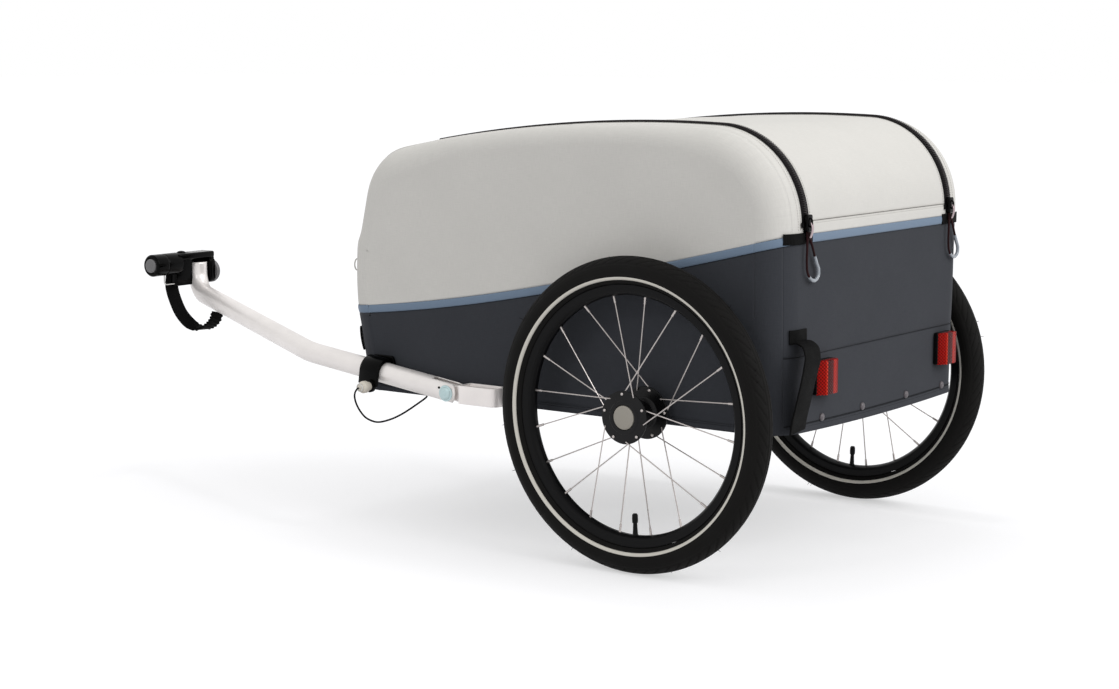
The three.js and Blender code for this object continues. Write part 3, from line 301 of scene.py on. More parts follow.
CLOTH_BASE = "D8D6D1"
finishes = {
    "panel": woven("grey_cloth_side", CLOTH_BASE, 0.0009, 0.86, 0.00008),
    "cover": woven("grey_cloth_cover", CLOTH_BASE, 0.0009, 0.86, 0.00008),
    "trim": woven("blue_grey_tape", "74869B", 0.0007, 0.62, 0.00006),
    "skirt": woven("dark_cloth", "3A3C41", 0.0010, 0.84, 0.00012, streak=0.10, sheen=0.06, gloss=0.1),
    "thread": moulded("seam_thread", "C4C2BD", 0.8),
    "seam_shadow": moulded("seam_shadow", "7C7975", 0.9, specular_ior_level=0.1),
    "dark_thread_and_shadow": moulded("dark_thread_and_shadow", "121417", 0.8, specular_ior_level=0.2),
    "webbing": ribbed("black_webbing", "020202", 0.0026, 0.75, 0.00018),
    "zip_tape": ribbed("zip_tape", "0B0A0B", 0.0012, 0.75, 0.00010),
    "zip_teeth": moulded("zip_teeth", "1E1819", 0.35, lift=1.8, specular_ior_level=0.3),
    "pull_cord": ribbed("pull_cord", "240E10", 0.0016, 0.6, 0.0002),
    "pull_grip": moulded("clear_grip", "C9D2DC", 0.18, coat=0.6, lift=1.0, transmission_weight=0.5),
    "tube": metal("silver_anodised_tube", "F6F1EE", 0.36, brushed=(0.03, 1, 1), spread=0.05, metallic=0.35),
    "bar": metal("satin_flat_bar", "FFF9F6", 0.4, brushed=(0.05, 0.05, 1), spread=0.05, metallic=0.35),
    "frame": metal("frame_tubing", "DAD8D4", 0.34, brushed=(1, 0.05, 1)),
    "steel": metal("plated_steel", "CBCAC7", 0.28),
    "spoke": metal("spoke_steel", "BDB6B3", 0.3, metallic=0.8),
    "zinc": metal("blue_zinc_bolt", "C3DADC", 0.35, metallic=0.45),
    "hub": moulded("black_hub", "060607", 0.3, lift=2.0, specular_ior_level=0.2),
    "rim": moulded("black_rim", "040405", 0.36, grain=0.00003, lift=1.6, specular_ior_level=0.12),
    "rubber": moulded(
        "tyre_rubber", "0C0B0A", 0.7, grain=0.00025, lift=2.6, scale=500.0, specular_ior_level=0.12,
    ),
    "stripe": moulded("reflective_stripe", "D8D4CA", 0.42, lift=1.02),
    "button": moulded("grey_button", "9C978D", 0.5, lift=1.06),
    "black": moulded("black_moulding", "020202", 0.16, grain=0.00003, lift=1.6, specular_ior_level=0.07),
    "dull_black": moulded("dull_black_moulding", "060607", 0.5, lift=1.8, specular_ior_level=0.12),
    "puller": metal("slider_puller", "B7A5A8", 0.32, metallic=0.6),
    "pin_cap": moulded("grey_cap", "6E6D6E", 0.5, lift=1.1),
    "cream": moulded("cream_knob", "E0D9CC", 0.42, lift=1.03),
    "board": moulded("floor_board", "2E2F31", 0.72, grain=0.0003),
    "rivet": moulded("rivet_head", "5A5458", 0.35, lift=1.3),
    "reflector": reflector_red(),
}


# Parts of meshes: each is (points, faces, face corners' UVs); a surface is a grid of points

def grid(points, uv=None, ring=False, loop=False, keep=None):
    """Quads over a grid of points. ring joins its last column to the first, and loop its last row.

    uv is (row lengths, column lengths) in millimetres, or a whole grid of pairs. keep masks the quads.
    """
    points = np.asarray(points, float)
    rows, columns = points.shape[:2]
    i, j = np.meshgrid(
        np.arange(rows if loop else rows - 1), np.arange(columns if ring else columns - 1), indexing="ij",
    )
    if keep is not None:
        i, j = i[keep], j[keep]
    i, j = i.ravel(), j.ravel()
    corners = [(i, j), (i + 1, j), (i + 1, j + 1), (i, j + 1)]
    faces = np.stack([(a % rows) * columns + b % columns for a, b in corners], axis=1)
    if uv is None:
        uv = measured(points, ring, loop)
    if isinstance(uv, tuple):
        along, across = (np.asarray(lengths, float) for lengths in uv)
        pairs = [np.stack([across[b], along[a]], axis=1) for a, b in corners]
    else:
        pairs = [uv[a, b] for a, b in corners]
    return points.reshape(-1, 3), faces.tolist(), (np.stack(pairs, axis=1) / 1000).reshape(-1, 2)


def measured(points, ring, loop):
    """Lengths along the middle row and column of a grid, with one more where it closes on itself."""
    middle_row = points[len(points) // 2]
    middle_column = points[:, points.shape[1] // 2]
    return run_length(middle_column, loop), run_length(middle_row, ring)


def run_length(line, closed=False):
    ends = np.vstack([line, line[:1]]) if closed else line
    return np.concatenate([[0], np.cumsum(np.linalg.norm(np.diff(ends, axis=0), axis=1))])


def cap(part_points, columns, first):
    """One face over a grid's first or last row, whose columns form a ring."""
    start = 0 if first else len(part_points) - columns
    ring = np.arange(start, start + columns)
    return (ring if first else ring[::-1]).tolist()


def closed_tube(points, uv=None):
    """A grid whose columns form a ring, with a face over each end."""
    flat, faces, pairs = grid(points, uv, ring=True)
    columns = points.shape[1]
    faces += [cap(flat, columns, True), cap(flat, columns, False)]
    return flat, faces, np.vstack([pairs, np.zeros((2 * columns, 2))])


def unit(rows):
    """Each row divided by its length."""
    return rows / np.linalg.norm(rows, axis=-1, keepdims=True)


def frames_along(path, start=None):
    """Directions across a path at each point, carried along it without a twist: side and up."""
    ahead = unit(np.gradient(path, axis=0))
    side = np.zeros_like(path)
    if start is None:
        start = (0, 0, 1) if abs(ahead[0][2]) < 0.9 else (0, 1, 0)
    first = np.array(start, float)
    for k, direction in enumerate(ahead):
        first = first - direction * first.dot(direction)
        first /= np.linalg.norm(first)
        side[k] = first
    return side, np.cross(ahead, side)


def sweep(path, section, start=None, steady=False):
    """A section of (side, up) pairs carried along a path: point + side * a + up * b.

    A steady section keeps its side direction as near to start as the path allows.
    """
    path = np.asarray(path, float)
    section = np.asarray(section, float)
    if section.ndim == 2:
        section = np.broadcast_to(section, (len(path), *section.shape))
    side, up = frames_along(path, start)
    if steady:
        ahead = np.cross(side, up)
        side = unit(np.asarray(start, float) - ahead * (ahead @ np.asarray(start, float))[:, None])
        up = np.cross(ahead, side)
    return path[:, None] + side[:, None] * section[..., :1] + up[:, None] * section[..., 1:]


def joined_round(line, section, start):
    """A section carried round a closed line until it meets itself."""
    return grid(sweep(line, section, start), ring=True, loop=True)


def circle(radius, count=24):
    turns = np.arange(count) * FULL_TURN / count
    return np.stack([radius * np.cos(turns), radius * np.sin(turns)], axis=1)


def rod(path, radius, count=16):
    """A round bar along a path; radius may change from point to point."""
    radii = np.broadcast_to(radius, len(path))
    return closed_tube(sweep(path, circle(1.0, count) * radii[:, None, None]))


def rounded_loop(half_width, half_height, radius, steps=6):
    """A rectangle with round corners, anticlockwise, as (a, b) pairs."""
    turns = np.linspace(0, QUARTER_TURN, steps + 1)
    arc = np.stack([np.cos(turns), np.sin(turns)], axis=1) * radius
    corners = []
    for k, (a, b) in enumerate([(1, 1), (-1, 1), (-1, -1), (1, -1)]):
        spin = np.array([[0, 1], [-1, 0]]) if k % 2 else np.eye(2)
        centre = np.array([a * (half_width - radius), b * (half_height - radius)])
        corners.append(centre + (1 if k < 2 else -1) * (arc @ spin))
    return np.vstack(corners)


FORWARD, LEFTWARD, UPWARD = (1, 0, 0), (0, 1, 0), (0, 0, 1)
AXES = {
    "x": np.array([LEFTWARD, UPWARD, FORWARD], float),
    "y": np.array([UPWARD, FORWARD, LEFTWARD], float),
    "z": np.array([FORWARD, LEFTWARD, UPWARD], float),
}


def lathe(profile, axis="y", centre=(0, 0, 0), count=64):
    """A profile of (radius, place along the axis) pairs turned about the axis through a centre."""
    radius, along = np.asarray(profile, float).T
    turns = np.arange(count) * FULL_TURN / count
    across, up, ahead = AXES[axis]
    ring = np.cos(turns)[:, None] * across + np.sin(turns)[:, None] * up
    return np.asarray(centre) + radius[:, None, None] * ring + along[:, None, None] * ahead


def turned(profile, axis="y", centre=(0, 0, 0), count=64):
    """A lathe surface closed at both ends by a face, or round itself if its profile is a loop."""
    points = lathe(profile, axis, centre, count)
    if np.allclose(profile[0], profile[-1]):
        return grid(points[:-1], ring=True, loop=True)
    return closed_tube(points)


def smooth_profile(corners, radius, steps=4):
    """A profile whose inner corners are rounded by up to a radius, each on a quadratic curve."""
    corners = np.asarray(corners, float)
    points = [corners[0]]
    for before, corner, after in zip(corners, corners[1:], corners[2:]):
        back, ahead = before - corner, after - corner
        cut = min(radius, np.linalg.norm(back) / 2.2, np.linalg.norm(ahead) / 2.2)
        start = corner + back / np.linalg.norm(back) * cut
        end = corner + ahead / np.linalg.norm(ahead) * cut
        for share in np.linspace(0, 1, steps + 1):
            points.append((1 - share) ** 2 * start + 2 * share * (1 - share) * corner + share ** 2 * end)
    points.append(corners[-1])
    return np.array(points)


def smooth_loop(corners, radius):
    """A closed outline through corners, rounded in the same way."""
    return smooth_profile([*corners, corners[0]], radius)[:-1]


def dome(radius, rise, base=0.0, first=0.05, count=6, last=QUARTER_TURN):
    """A dome's profile from its crown outwards: radius * sin(turn), base + rise * cos(turn)."""
    turns = np.linspace(first, last, count)
    return np.c_[radius * np.sin(turns), base + rise * np.cos(turns)]


def pin(radius, low, high, centre, count):
    """A plain round pin along y between two places."""
    return turned([(0.1, low), (radius, low), (radius, high), (0.1, high)], "y", centre, count)


def moved(part, offset):
    """A part shifted by an offset."""
    return (part[0] + offset, *part[1:])


def slab(loop, axis, low, high, bevel=0.8, steps=3):
    """An outline of (a, b) pairs carried along an axis, with both rims rounded by a bevel."""
    loop = np.asarray(loop, float)
    ahead = np.roll(loop, -1, axis=0) - np.roll(loop, 1, axis=0)
    outward = unit(np.stack([ahead[:, 1], -ahead[:, 0]], axis=1))
    area = np.sum(loop[:, 0] * np.roll(loop[:, 1], -1) - loop[:, 1] * np.roll(loop[:, 0], -1))
    outward *= np.sign(area)
    turns = np.linspace(0, QUARTER_TURN, steps + 1)
    insets = np.concatenate([bevel * (1 - np.sin(turns)), bevel * (1 - np.sin(turns[::-1]))])
    places = np.concatenate([low + bevel * (1 - np.cos(turns)), high - bevel * (1 - np.cos(turns[::-1]))])
    across, up, forward = AXES[axis]
    flat = loop[None] - outward[None] * insets[:, None, None]
    points = flat[..., :1] * across + flat[..., 1:] * up + places[:, None, None] * forward
    return closed_tube(points)


def smooth_path(points, step=2.0):
    """A centripetal Catmull-Rom curve through the points, sampled evenly along its length."""
    points = np.asarray(points, float)
    ends = np.vstack([2 * points[0] - points[1], points, 2 * points[-1] - points[-2]])
    samples = []
    for p0, p1, p2, p3 in zip(ends, ends[1:], ends[2:], ends[3:]):
        knots = np.cumsum([0, *(np.sqrt(np.linalg.norm(b - a)) for a, b in ((p0, p1), (p1, p2), (p2, p3)))])
        t0, t1, t2, t3 = knots
        t = np.linspace(t1, t2, 24, endpoint=False)[:, None]
        a1 = (t1 - t) / (t1 - t0) * p0 + (t - t0) / (t1 - t0) * p1
        a2 = (t2 - t) / (t2 - t1) * p1 + (t - t1) / (t2 - t1) * p2
        a3 = (t3 - t) / (t3 - t2) * p2 + (t - t2) / (t3 - t2) * p3
        b1 = (t2 - t) / (t2 - t0) * a1 + (t - t0) / (t2 - t0) * a2
        b2 = (t3 - t) / (t3 - t1) * a2 + (t - t1) / (t3 - t1) * a3
        samples.append((t2 - t) / (t2 - t1) * b1 + (t - t1) / (t2 - t1) * b2)
    return evenly(np.vstack([*samples, points[-1:]]), step)


def evenly(line, step):
    lengths = run_length(line)
    count = max(2, int(round(lengths[-1] / step)) + 1)
    at = np.linspace(0, lengths[-1], count)
    return np.stack([np.interp(at, lengths, line[:, k]) for k in range(line.shape[1])], axis=1)


def bent_path(corners, radii, step=4.0):
    """Straights joined by arcs: each corner is turned on a circle of its own radius."""
    corners = np.asarray(corners, float)
    points = [corners[0]]
    for k, radius in enumerate(radii, start=1):
        back = corners[k - 1] - corners[k]
        ahead = corners[k + 1] - corners[k]
        back /= np.linalg.norm(back)
        ahead /= np.linalg.norm(ahead)
        half = math.acos(np.clip(back.dot(ahead), -1, 1)) / 2
        centre = corners[k] + (back + ahead) / np.linalg.norm(back + ahead) * radius / math.sin(half)
        start = corners[k] + back * radius / math.tan(half) - centre
        end = corners[k] + ahead * radius / math.tan(half) - centre
        turn = math.pi - 2 * half
        for share in np.linspace(0, 1, 14):
            mixed = start * math.sin((1 - share) * turn) + end * math.sin(share * turn)
            points.append(centre + mixed / math.sin(turn))
    return evenly(np.vstack([*points, corners[-1]]), step)


SMALLEST_CREASE = math.radians(38)
WELD = 0.00001


def piece(name, parts, finish, body, replaced=(), slot=None, thickness=0.0, outward_from=None, closed=True):
    """One named object made of parts: welded, smooth except at creases, finished, and riding on a body.

    A closed piece has its faces turned out. A sheet is turned away from outward_from, and given a wall
    of the thickness inwards.
    """
    points, faces, pairs = [], [], []
    start = 0
    for part_points, part_faces, part_pairs in parts:
        points.append(part_points)
        faces += [[start + corner for corner in face] for face in part_faces]
        pairs.append(part_pairs)
        start += len(part_points)
    mesh = bpy.data.meshes.new(name)
    mesh.from_pydata(metres(np.vstack(points)).tolist(), [], faces)
    mesh.uv_layers.new(name="UVMap").data.foreach_set("uv", np.vstack(pairs).astype(np.float32).ravel())
    work = bmesh.new()
    work.from_mesh(mesh)
    bmesh.ops.remove_doubles(work, verts=work.verts, dist=WELD)
    bmesh.ops.dissolve_degenerate(work, edges=work.edges, dist=WELD)
    if closed:
        bmesh.ops.recalc_face_normals(work, faces=work.faces)
    elif outward_from is not None:
        middle = Vector(metres(outward_from))
        flux = sum(
            face.normal.dot(face.calc_center_median() - middle) * face.calc_area() for face in work.faces
        )
        if flux < 0:
            bmesh.ops.reverse_faces(work, faces=work.faces)
    work.to_mesh(mesh)
    work.free()
    mesh.shade_smooth()
    mesh.set_sharp_from_angle(angle=SMALLEST_CREASE)
    made = into_scene(name, mesh)
    made.data.materials.append(finishes[finish])
    if thickness:
        wall = made.modifiers.new("wall", "SOLIDIFY")
        wall.thickness = thickness / 1000
        wall.offset = -1
        wall.use_rim = True
    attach(made, body)
    if replaced:
        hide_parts(*([replaced] if isinstance(replaced, str) else replaced))
    return made


# Free cords and straps, along the same routes as their solids

FLAG_STRAP_ROUTE = [
    (-236.6, 252, 372.5), (-242, 252, 372.4), (-254, 254, 366), (-261, 259, 351), (-262, 265, 335),
    (-259, 269, 312), (-252, 270, 280), (-245, 269, 254), (-241, 267, 236),
]
TETHER_ROUTE = [
    (556, 372.6, 244), (556.5, 374.5, 243.4), (559, 377, 239), (562, 376.5, 231), (564, 371, 218),
    (561, 364, 203), (554, 357, 191), (542, 350, 184.6), (533, 345, 184), (518, 336, 188.6),
    (503, 327, 196.6), (489.4, 317, 207), (475.4, 307, 219.1), (468, 300, 226.5), (466.5, 298.3, 229.5),
]
SAFETY_STRAP_ROUTE = [
    (1196, 184, 385.2), (1197.5, 184, 374), (1198.5, 184, 360), (1192, 182, 335), (1180, 176, 306),
    (1165, 165, 286), (1146, 156, 280), (1127, 153, 287), (1114, 152, 300), (1110, 151, 313),
]
PULL_LOOP = [
    (0, 2.1, 0), (0, 2.1, -4), (-1.5, 4, -22), (-1.5, 4.5, -50), (-1.5, 2, -64), (-1.5, -8, -75),
    (-1.5, -20, -78), (-1.5, -30, -72), (-1.5, -31, -62), (-1.5, -24, -50), (-1.5, -12, -26), (0, -2.1, -4),
    (0, -2.1, 0),
]
PULL_TOP_DROP = 0.3
FLAG_STRAP_WIDTH = 44
SAFETY_STRAP_ACROSS = (0.5, 0.85, 0)
SAFETY_STRAP_WIDTH = 25
TETHER_RADIUS = 1.6
GATHER_START = 0.62
GATHER_FADE = 0.03
GATHER_RIBS = 24


def strap_section(width, thickness):
    """A flat band's section: two long sides with a slight crown and two round edges."""
    return rounded_loop(width / 2, thickness / 2, thickness * 0.45, 3)


def flat_strap(route, width, thickness, swell=None, across=LEFTWARD):
    """A band along a route, its width along across. swell(shares) scales it from place to place."""
    path = smooth_path(route, 1.6)
    section = strap_section(width, thickness)
    section = np.broadcast_to(section, (len(path), *section.shape))
    if swell is not None:
        section = section * swell(np.linspace(0, 1, len(path)))[:, None]
    return closed_tube(sweep(path, section, across, steady=True)), path


def gathered(shares):
    """The last third of the safety strap is gathered on a shock cord: nine ribs, and a narrower band."""
    inside = np.clip((shares - GATHER_START) / GATHER_FADE, 0, 1)
    wave = np.sin(shares * FULL_TURN * GATHER_RIBS)
    ribs = 1 + 0.10 * wave * inside
    thick = 1 + inside * (0.55 + 0.35 * wave)
    return np.stack([ribs * (1 - 0.08 * inside), thick], axis=1)


part, path = flat_strap(FLAG_STRAP_ROUTE, FLAG_STRAP_WIDTH, 3)
flag_strap = piece("flag_strap_webbing", [part], "webbing", "chassis", "flag_strap", "webbing")
part, path = flat_strap(SAFETY_STRAP_ROUTE, SAFETY_STRAP_WIDTH, 3, gathered, SAFETY_STRAP_ACROSS)
piece("safety_strap_webbing", [part], "webbing", "drawbar", "safety_strap", "webbing")
path = smooth_path(TETHER_ROUTE, 2.0)
piece("lock_tether_cord", [rod(path, TETHER_RADIUS, 10)], "webbing", "chassis", "lock_tether", "webbing")


# The box's cloth skin

BOX_REAR = -234
BOX_LENGTH = 880
HEM_HEIGHT = 230
BOX_HEIGHT = 470
WALL_HEIGHT = 320
ARC_RADIUS = 150
HALF_WIDTH = 300
ROOF_FLARE = 13
HEM_CORNER = 52
ROOF_CORNER = 48
CORNER_TAPER = 390
EDGE_CORNER = 32
EDGE_STARTS = 500
EDGE_ENDS = 1190
EDGE_FORMS_OVER = 170
TAPE_WIDTH = 12.5
ZIP_OFFSET = 232
ZIP_WIDTH = 9.4
COVER_FRONT = 480
BOX_MIDDLE = (150, 0, 440)
CLOTH = 1.3
PANEL_SEAM = 1.2
PANEL_LAP = -0.6
LAYER_DEPTH = 0.6
SKIRT_SEAM = 1.41
SKIRT_CORNER = 1.4
MIDDLE_SEAM = 349
HEM_GROOVE = 242
REAR_SAG = 4.0
SAG_HALF = 250
SAG_RISE = 90
TAPE_LIFT = -1.2
TAPE_OVERLAP = 0.4
SEAM_SEARCH = {True: 560, False: -200}
HALVINGS = 32
RUN_STEPS = 330
CALM_WITHIN = 60
HOLLOW_START = -190
HOLLOW_LENGTH = 800
HOLLOW_DEPTH = 1.6
RELIEF_LEVEL = 600

ROOF_SHARES = [(0.402, 1.017), (0.641, 0.979), (0.868, 0.898)]
NOSE_SHARES = [(0.919, 0.88), (0.951, 0.813), (0.964, 0.723)]
KNEE_SHARES = [(0.983, 0.583), (0.993, 0.545)]
BELLY_SHARES = [(1.001, 0.415), (0.9966, 0.302)]
FOOT_SHARES = [(0.99, 0.245), (0.969, 0)]
TAPE_SHARES = [(0.9989, 0.302), (0.743, 0.343), (0.493, 0.4255), (0, 0.651)]
FRONT_CURVES = (
    ROOF_SHARES, NOSE_SHARES, KNEE_SHARES[:1], KNEE_SHARES[1:], BELLY_SHARES, FOOT_SHARES[:1],
    FOOT_SHARES[1:],
)
SOFTENING = 9.0
RUN_ON = 20


def box_place(shares):
    return np.array([BOX_REAR, HEM_HEIGHT]) + np.asarray(shares) * [BOX_LENGTH, BOX_HEIGHT]


def bezier(points, t):
    """A Bezier curve of any degree by repeated mixing of neighbouring control points."""
    levels = [np.asarray(point, float)[None] + 0 * t[:, None] for point in points]
    while len(levels) > 1:
        levels = [a * (1 - t[:, None]) + b * t[:, None] for a, b in zip(levels, levels[1:])]
    return levels[0]


def side_outline():
    """Rear wall, quarter arc, roof and nose curves, knee, belly and foot, softened along their length."""
    share = np.linspace(0, 1, 200)
    wall_top = HEM_HEIGHT + WALL_HEIGHT
    turns = math.pi - share * QUARTER_TURN
    arc = np.stack([
        BOX_REAR + ARC_RADIUS + ARC_RADIUS * np.cos(turns), wall_top + ARC_RADIUS * np.sin(turns),
    ], axis=1)
    line = [np.array([[BOX_REAR, HEM_HEIGHT]]), arc]
    for curve in FRONT_CURVES:
        line.append(bezier([line[-1][-1], *box_place(curve)], share))
    line = evenly(np.vstack(line), 1.0)
    reach = int(3 * SOFTENING)
    kernel = np.exp(-(np.arange(-reach, reach + 1) / SOFTENING) ** 2)
    kernel /= kernel.sum()
    padded = np.vstack([
        2 * line[0] - line[reach:0:-1], line, 2 * line[-1] - line[-2:-reach - 2:-1],
    ])
    line = evenly(np.stack([np.convolve(padded[:, k], kernel, "valid") for k in (0, 1)], axis=1), 1.0)
    return np.vstack([line, line[-1] + (line[-1] - line[-2]) * np.arange(1, RUN_ON + 1)[:, None]])


OUTLINE = side_outline()
OUTLINE_RUN = run_length(OUTLINE)
OUTLINE_END = OUTLINE_RUN[-RUN_ON - 1]
OUTLINE_AHEAD = np.gradient(OUTLINE, OUTLINE_RUN, axis=0)


def corner_radius(run):
    """Soft corners up the rear and the front, blended into a crisper edge along the roof by a smooth step."""
    z = np.interp(run, OUTLINE_RUN, OUTLINE[:, 1])
    soft = HEM_CORNER + (ROOF_CORNER - HEM_CORNER) * np.clip((z - HEM_HEIGHT) / CORNER_TAPER, 0, 1)
    crisp = np.clip(np.minimum(run - EDGE_STARTS, EDGE_ENDS - run) / EDGE_FORMS_OVER, 0, 1)
    return soft + (EDGE_CORNER - soft) * crisp ** 2 * (3 - 2 * crisp)


def flare(y, z):
    """The box is a little wider at its roof than at its hem."""
    return y * (1 + ROOF_FLARE / HALF_WIDTH * (z - HEM_HEIGHT) / BOX_HEIGHT)


def skin(run, across, depth=0.0):
    """A point of the box's skin. run is the length up the rear, over the roof and down the front.

    across is 0 in the middle, 1 where a rounded corner starts and 2 where it meets the flat side.
    """
    run, across, depth = np.broadcast_arrays(run, across, depth)
    at = [np.interp(run, OUTLINE_RUN, values) for values in (*OUTLINE.T, *OUTLINE_AHEAD.T)]
    x, z, ahead_x, ahead_z = at
    length = np.hypot(ahead_x, ahead_z)
    in_x, in_z = ahead_z / length, -ahead_x / length
    radius = corner_radius(run)
    turn = np.clip(np.abs(across) - 1, 0, 1) * QUARTER_TURN
    drop = radius - (radius - depth) * np.cos(turn)
    flat = np.minimum(np.abs(across), 1) * (HALF_WIDTH - radius)
    y = np.sign(across) * (flat + (radius - depth) * np.sin(turn))
    height = z + in_z * drop
    return np.stack([x + in_x * drop, flare(y, height), height], axis=-1)


def across_at(run, y):
    return y / (HALF_WIDTH - corner_radius(run))


def run_at(axis, value, front=False):
    """The run where "x" or "z" takes a value, from the rear hem or, with front, from the front one."""
    key = "xz".index(axis)
    line = OUTLINE[::-1, key] if front else OUTLINE[:, key]
    lengths = OUTLINE_RUN[::-1] if front else OUTLINE_RUN
    past = np.nonzero((line[:-1] - value) * (line[1:] - value) <= 0)[0][0]
    share = (value - line[past]) / (line[past + 1] - line[past])
    return lengths[past] + share * (lengths[past + 1] - lengths[past])


TAPE_LINE = bezier([box_place(pair) for pair in TAPE_SHARES], np.linspace(1, 0, 200))


def tape_top(x):
    """Height of the blue-grey tape's top edge over the distance along the box."""
    return np.interp(x, TAPE_LINE[:, 0], TAPE_LINE[:, 1])


def seam(across, front, drop=0.0, level=None):
    """Each column's run where the skin is a drop below the tape's top edge, or at a level, by halving."""
    across = np.atleast_1d(np.asarray(across, float))
    low = np.full(across.shape, OUTLINE_RUN[-1] if front else 0.0)
    high = np.full(across.shape, run_at("x", SEAM_SEARCH[front]))
    for _ in range(HALVINGS):
        middle = (low + high) / 2
        place = skin(middle, across)
        under = place[..., 2] < (level if level else tape_top(place[..., 0]) - drop)
        low, high = np.where(under, middle, low), np.where(under, high, middle)
    return low


def hem(across, front):
    """The run of the lower edge: level with the ground in front, and the outline's start at the rear."""
    return seam(across, True, level=HEM_HEIGHT) if front else np.zeros(np.shape(across))


def valley(distance, width, depth):
    """A soft groove: depth * exp(-(distance / width) squared)."""
    return depth * np.exp(-(distance / width) ** 2)


def ripples(a, b, seed, height, lengths=(260, 170, 95)):
    """Slow waves in cloth under light tension: crossed sines of falling height."""
    chance = np.random.default_rng(seed)
    total = 0
    for k, length in enumerate(lengths):
        lean, phase = chance.uniform(-0.6, 0.6), chance.uniform(0, FULL_TURN)
        swing = np.sin(FULL_TURN / length * (a + lean * b) + phase)
        total = total + swing * np.sin(FULL_TURN / (length * 1.7) * b + phase * 2) / (k + 1)
    return height * total


def cloth(name, parts, finish, body, replaced, slot, thickness=CLOTH):
    return piece(
        name, parts, finish, body, replaced, slot, thickness=thickness, outward_from=BOX_MIDDLE, closed=False,
    )


def side_run(run, across):
    """Length across the skin: y on the flat, then on round the corner."""
    radius = corner_radius(run)
    flat = np.minimum(np.abs(across), 1) * (HALF_WIDTH - radius)
    return np.sign(across) * (flat + np.clip(np.abs(across) - 1, 0, 1) * QUARTER_TURN * radius)


def skin_grid(run, across, depth, side=1):
    """A sheet on the skin whose UVs are lengths on it. On the right side it is mirrored."""
    run, across = np.broadcast_arrays(run, across)
    return grid(skin(run, side * across, depth), uv=np.stack([side_run(run, across), run], axis=-1))


def skin_patch(starts, ends, across, rows, relief):
    """The skin between two seams, given as runs on each column; relief(run, y) is depth into the box."""
    run = starts + (ends - starts) * np.linspace(0, 1, rows)[:, None]
    return skin_grid(run, across, relief(run, skin(run, across)[..., 1]))


REAR_TAPE_TOP = float(tape_top(BOX_REAR))
LID_FOOT = run_at("z", REAR_TAPE_TOP + 0.6)
LID_END = run_at("x", COVER_FRONT)
LID_HEM_SEAM = run_at("z", REAR_TAPE_TOP + 19)
ZIP_IN = ZIP_OFFSET - ZIP_WIDTH / 2
ZIP_OUT = ZIP_OFFSET + ZIP_WIDTH / 2
CLOTH_DEPTH = 0.5
WELT = 5.0


def welt_groove(edge):
    """The stitched groove beside a welt, edge being the distance from the zip's tape."""
    return valley(edge - WELT - 2.5, width=1.5, depth=0.6)


def lid_relief(run, y):
    """The cover: a doubled hem with its stitched groove, welts beside the zips, and slow ripples."""
    hem = -0.9 * (run < LID_HEM_SEAM) + valley(run - LID_HEM_SEAM, width=1.3, depth=2.4)
    edge = flare(ZIP_IN, RELIEF_LEVEL) - np.abs(y)
    calm = np.clip(edge / CALM_WITHIN, 0, 1) * np.clip((run - LID_HEM_SEAM) / CALM_WITHIN, 0, 1)
    return hem + welt_groove(edge) + calm * ripples(run, y, seed=3, height=0.9) + LAYER_DEPTH


def front_relief(run, y):
    """The front panel: a groove where it leaves the cover, and slow ripples below it."""
    below = np.clip((run - LID_END) / 80, 0, 1)
    groove = valley(run - LID_END, width=2.0, depth=1.2)
    return groove + ripples(run, y, seed=5, height=0.8) * below + LAYER_DEPTH


def add_cover():
    """The cover between the zips: skin(run, y) from its hem on the rear wall to its end on the roof."""
    run = LID_FOOT + (LID_END - LID_FOOT) * np.linspace(0, 1, RUN_STEPS)[:, None]
    y = ZIP_IN * np.linspace(-1, 1, 150) * np.ones_like(run)
    points = skin(run, across_at(run, y), lid_relief(run, flare(y, RELIEF_LEVEL)))
    cloth("roof_cover_cloth", [grid(points, uv=np.stack([y, run + 0 * y], axis=-1))], "cover", "cover",
          "roof_cover", "cover_fabric")


def add_edge_bands():
    """The strips of cloth between the zips and the side panels, each with a welt beside its zip."""
    shares = np.linspace(0, 1, 26)
    foot = seam(1 + (PANEL_SEAM - 1) * shares, False, PANEL_LAP)
    run = foot + (LID_END - foot) * np.linspace(0, 1, RUN_STEPS)[:, None]
    start = across_at(run, ZIP_OUT)
    column = start + (PANEL_SEAM - start) * shares
    edge = np.abs(skin(run, column)[..., 1]) - flare(ZIP_OUT, RELIEF_LEVEL)
    for name, side in SIDES.items():
        cloth(f"edge_band_cloth_{name}", [skin_grid(run, column, welt_groove(edge) + LAYER_DEPTH, side)],
              "cover", "chassis", f"edge_band_{name}", "cover_fabric")


def add_front_panel():
    """The skin between the cover's end and the tape, over the front."""
    across = np.linspace(-PANEL_SEAM, PANEL_SEAM, 120)
    ends = seam(across, True, PANEL_LAP)
    cloth("front_panel_cloth", [skin_patch(LID_END + 0.4 + 0 * ends, ends, across, 150, front_relief)],
          "cover", "chassis", "front_panel", "cover_fabric")


def panel_relief(x, z, distance, down):
    """Side panel: a slight hollow between the hoops, and slow ripples that die away at its edges."""
    inside = np.clip(distance / 40, 0, 1) * np.clip((1 - down) * 6, 0, 1)
    along = np.clip((x - HOLLOW_START) / HOLLOW_LENGTH, 0, 1)
    hollow = HOLLOW_DEPTH * np.sin(along * math.pi) * np.sin(np.clip(down, 0, 1) * math.pi)
    return hollow + inside * ripples(x, z, seed=11, height=0.8, lengths=(330, 210, 120))


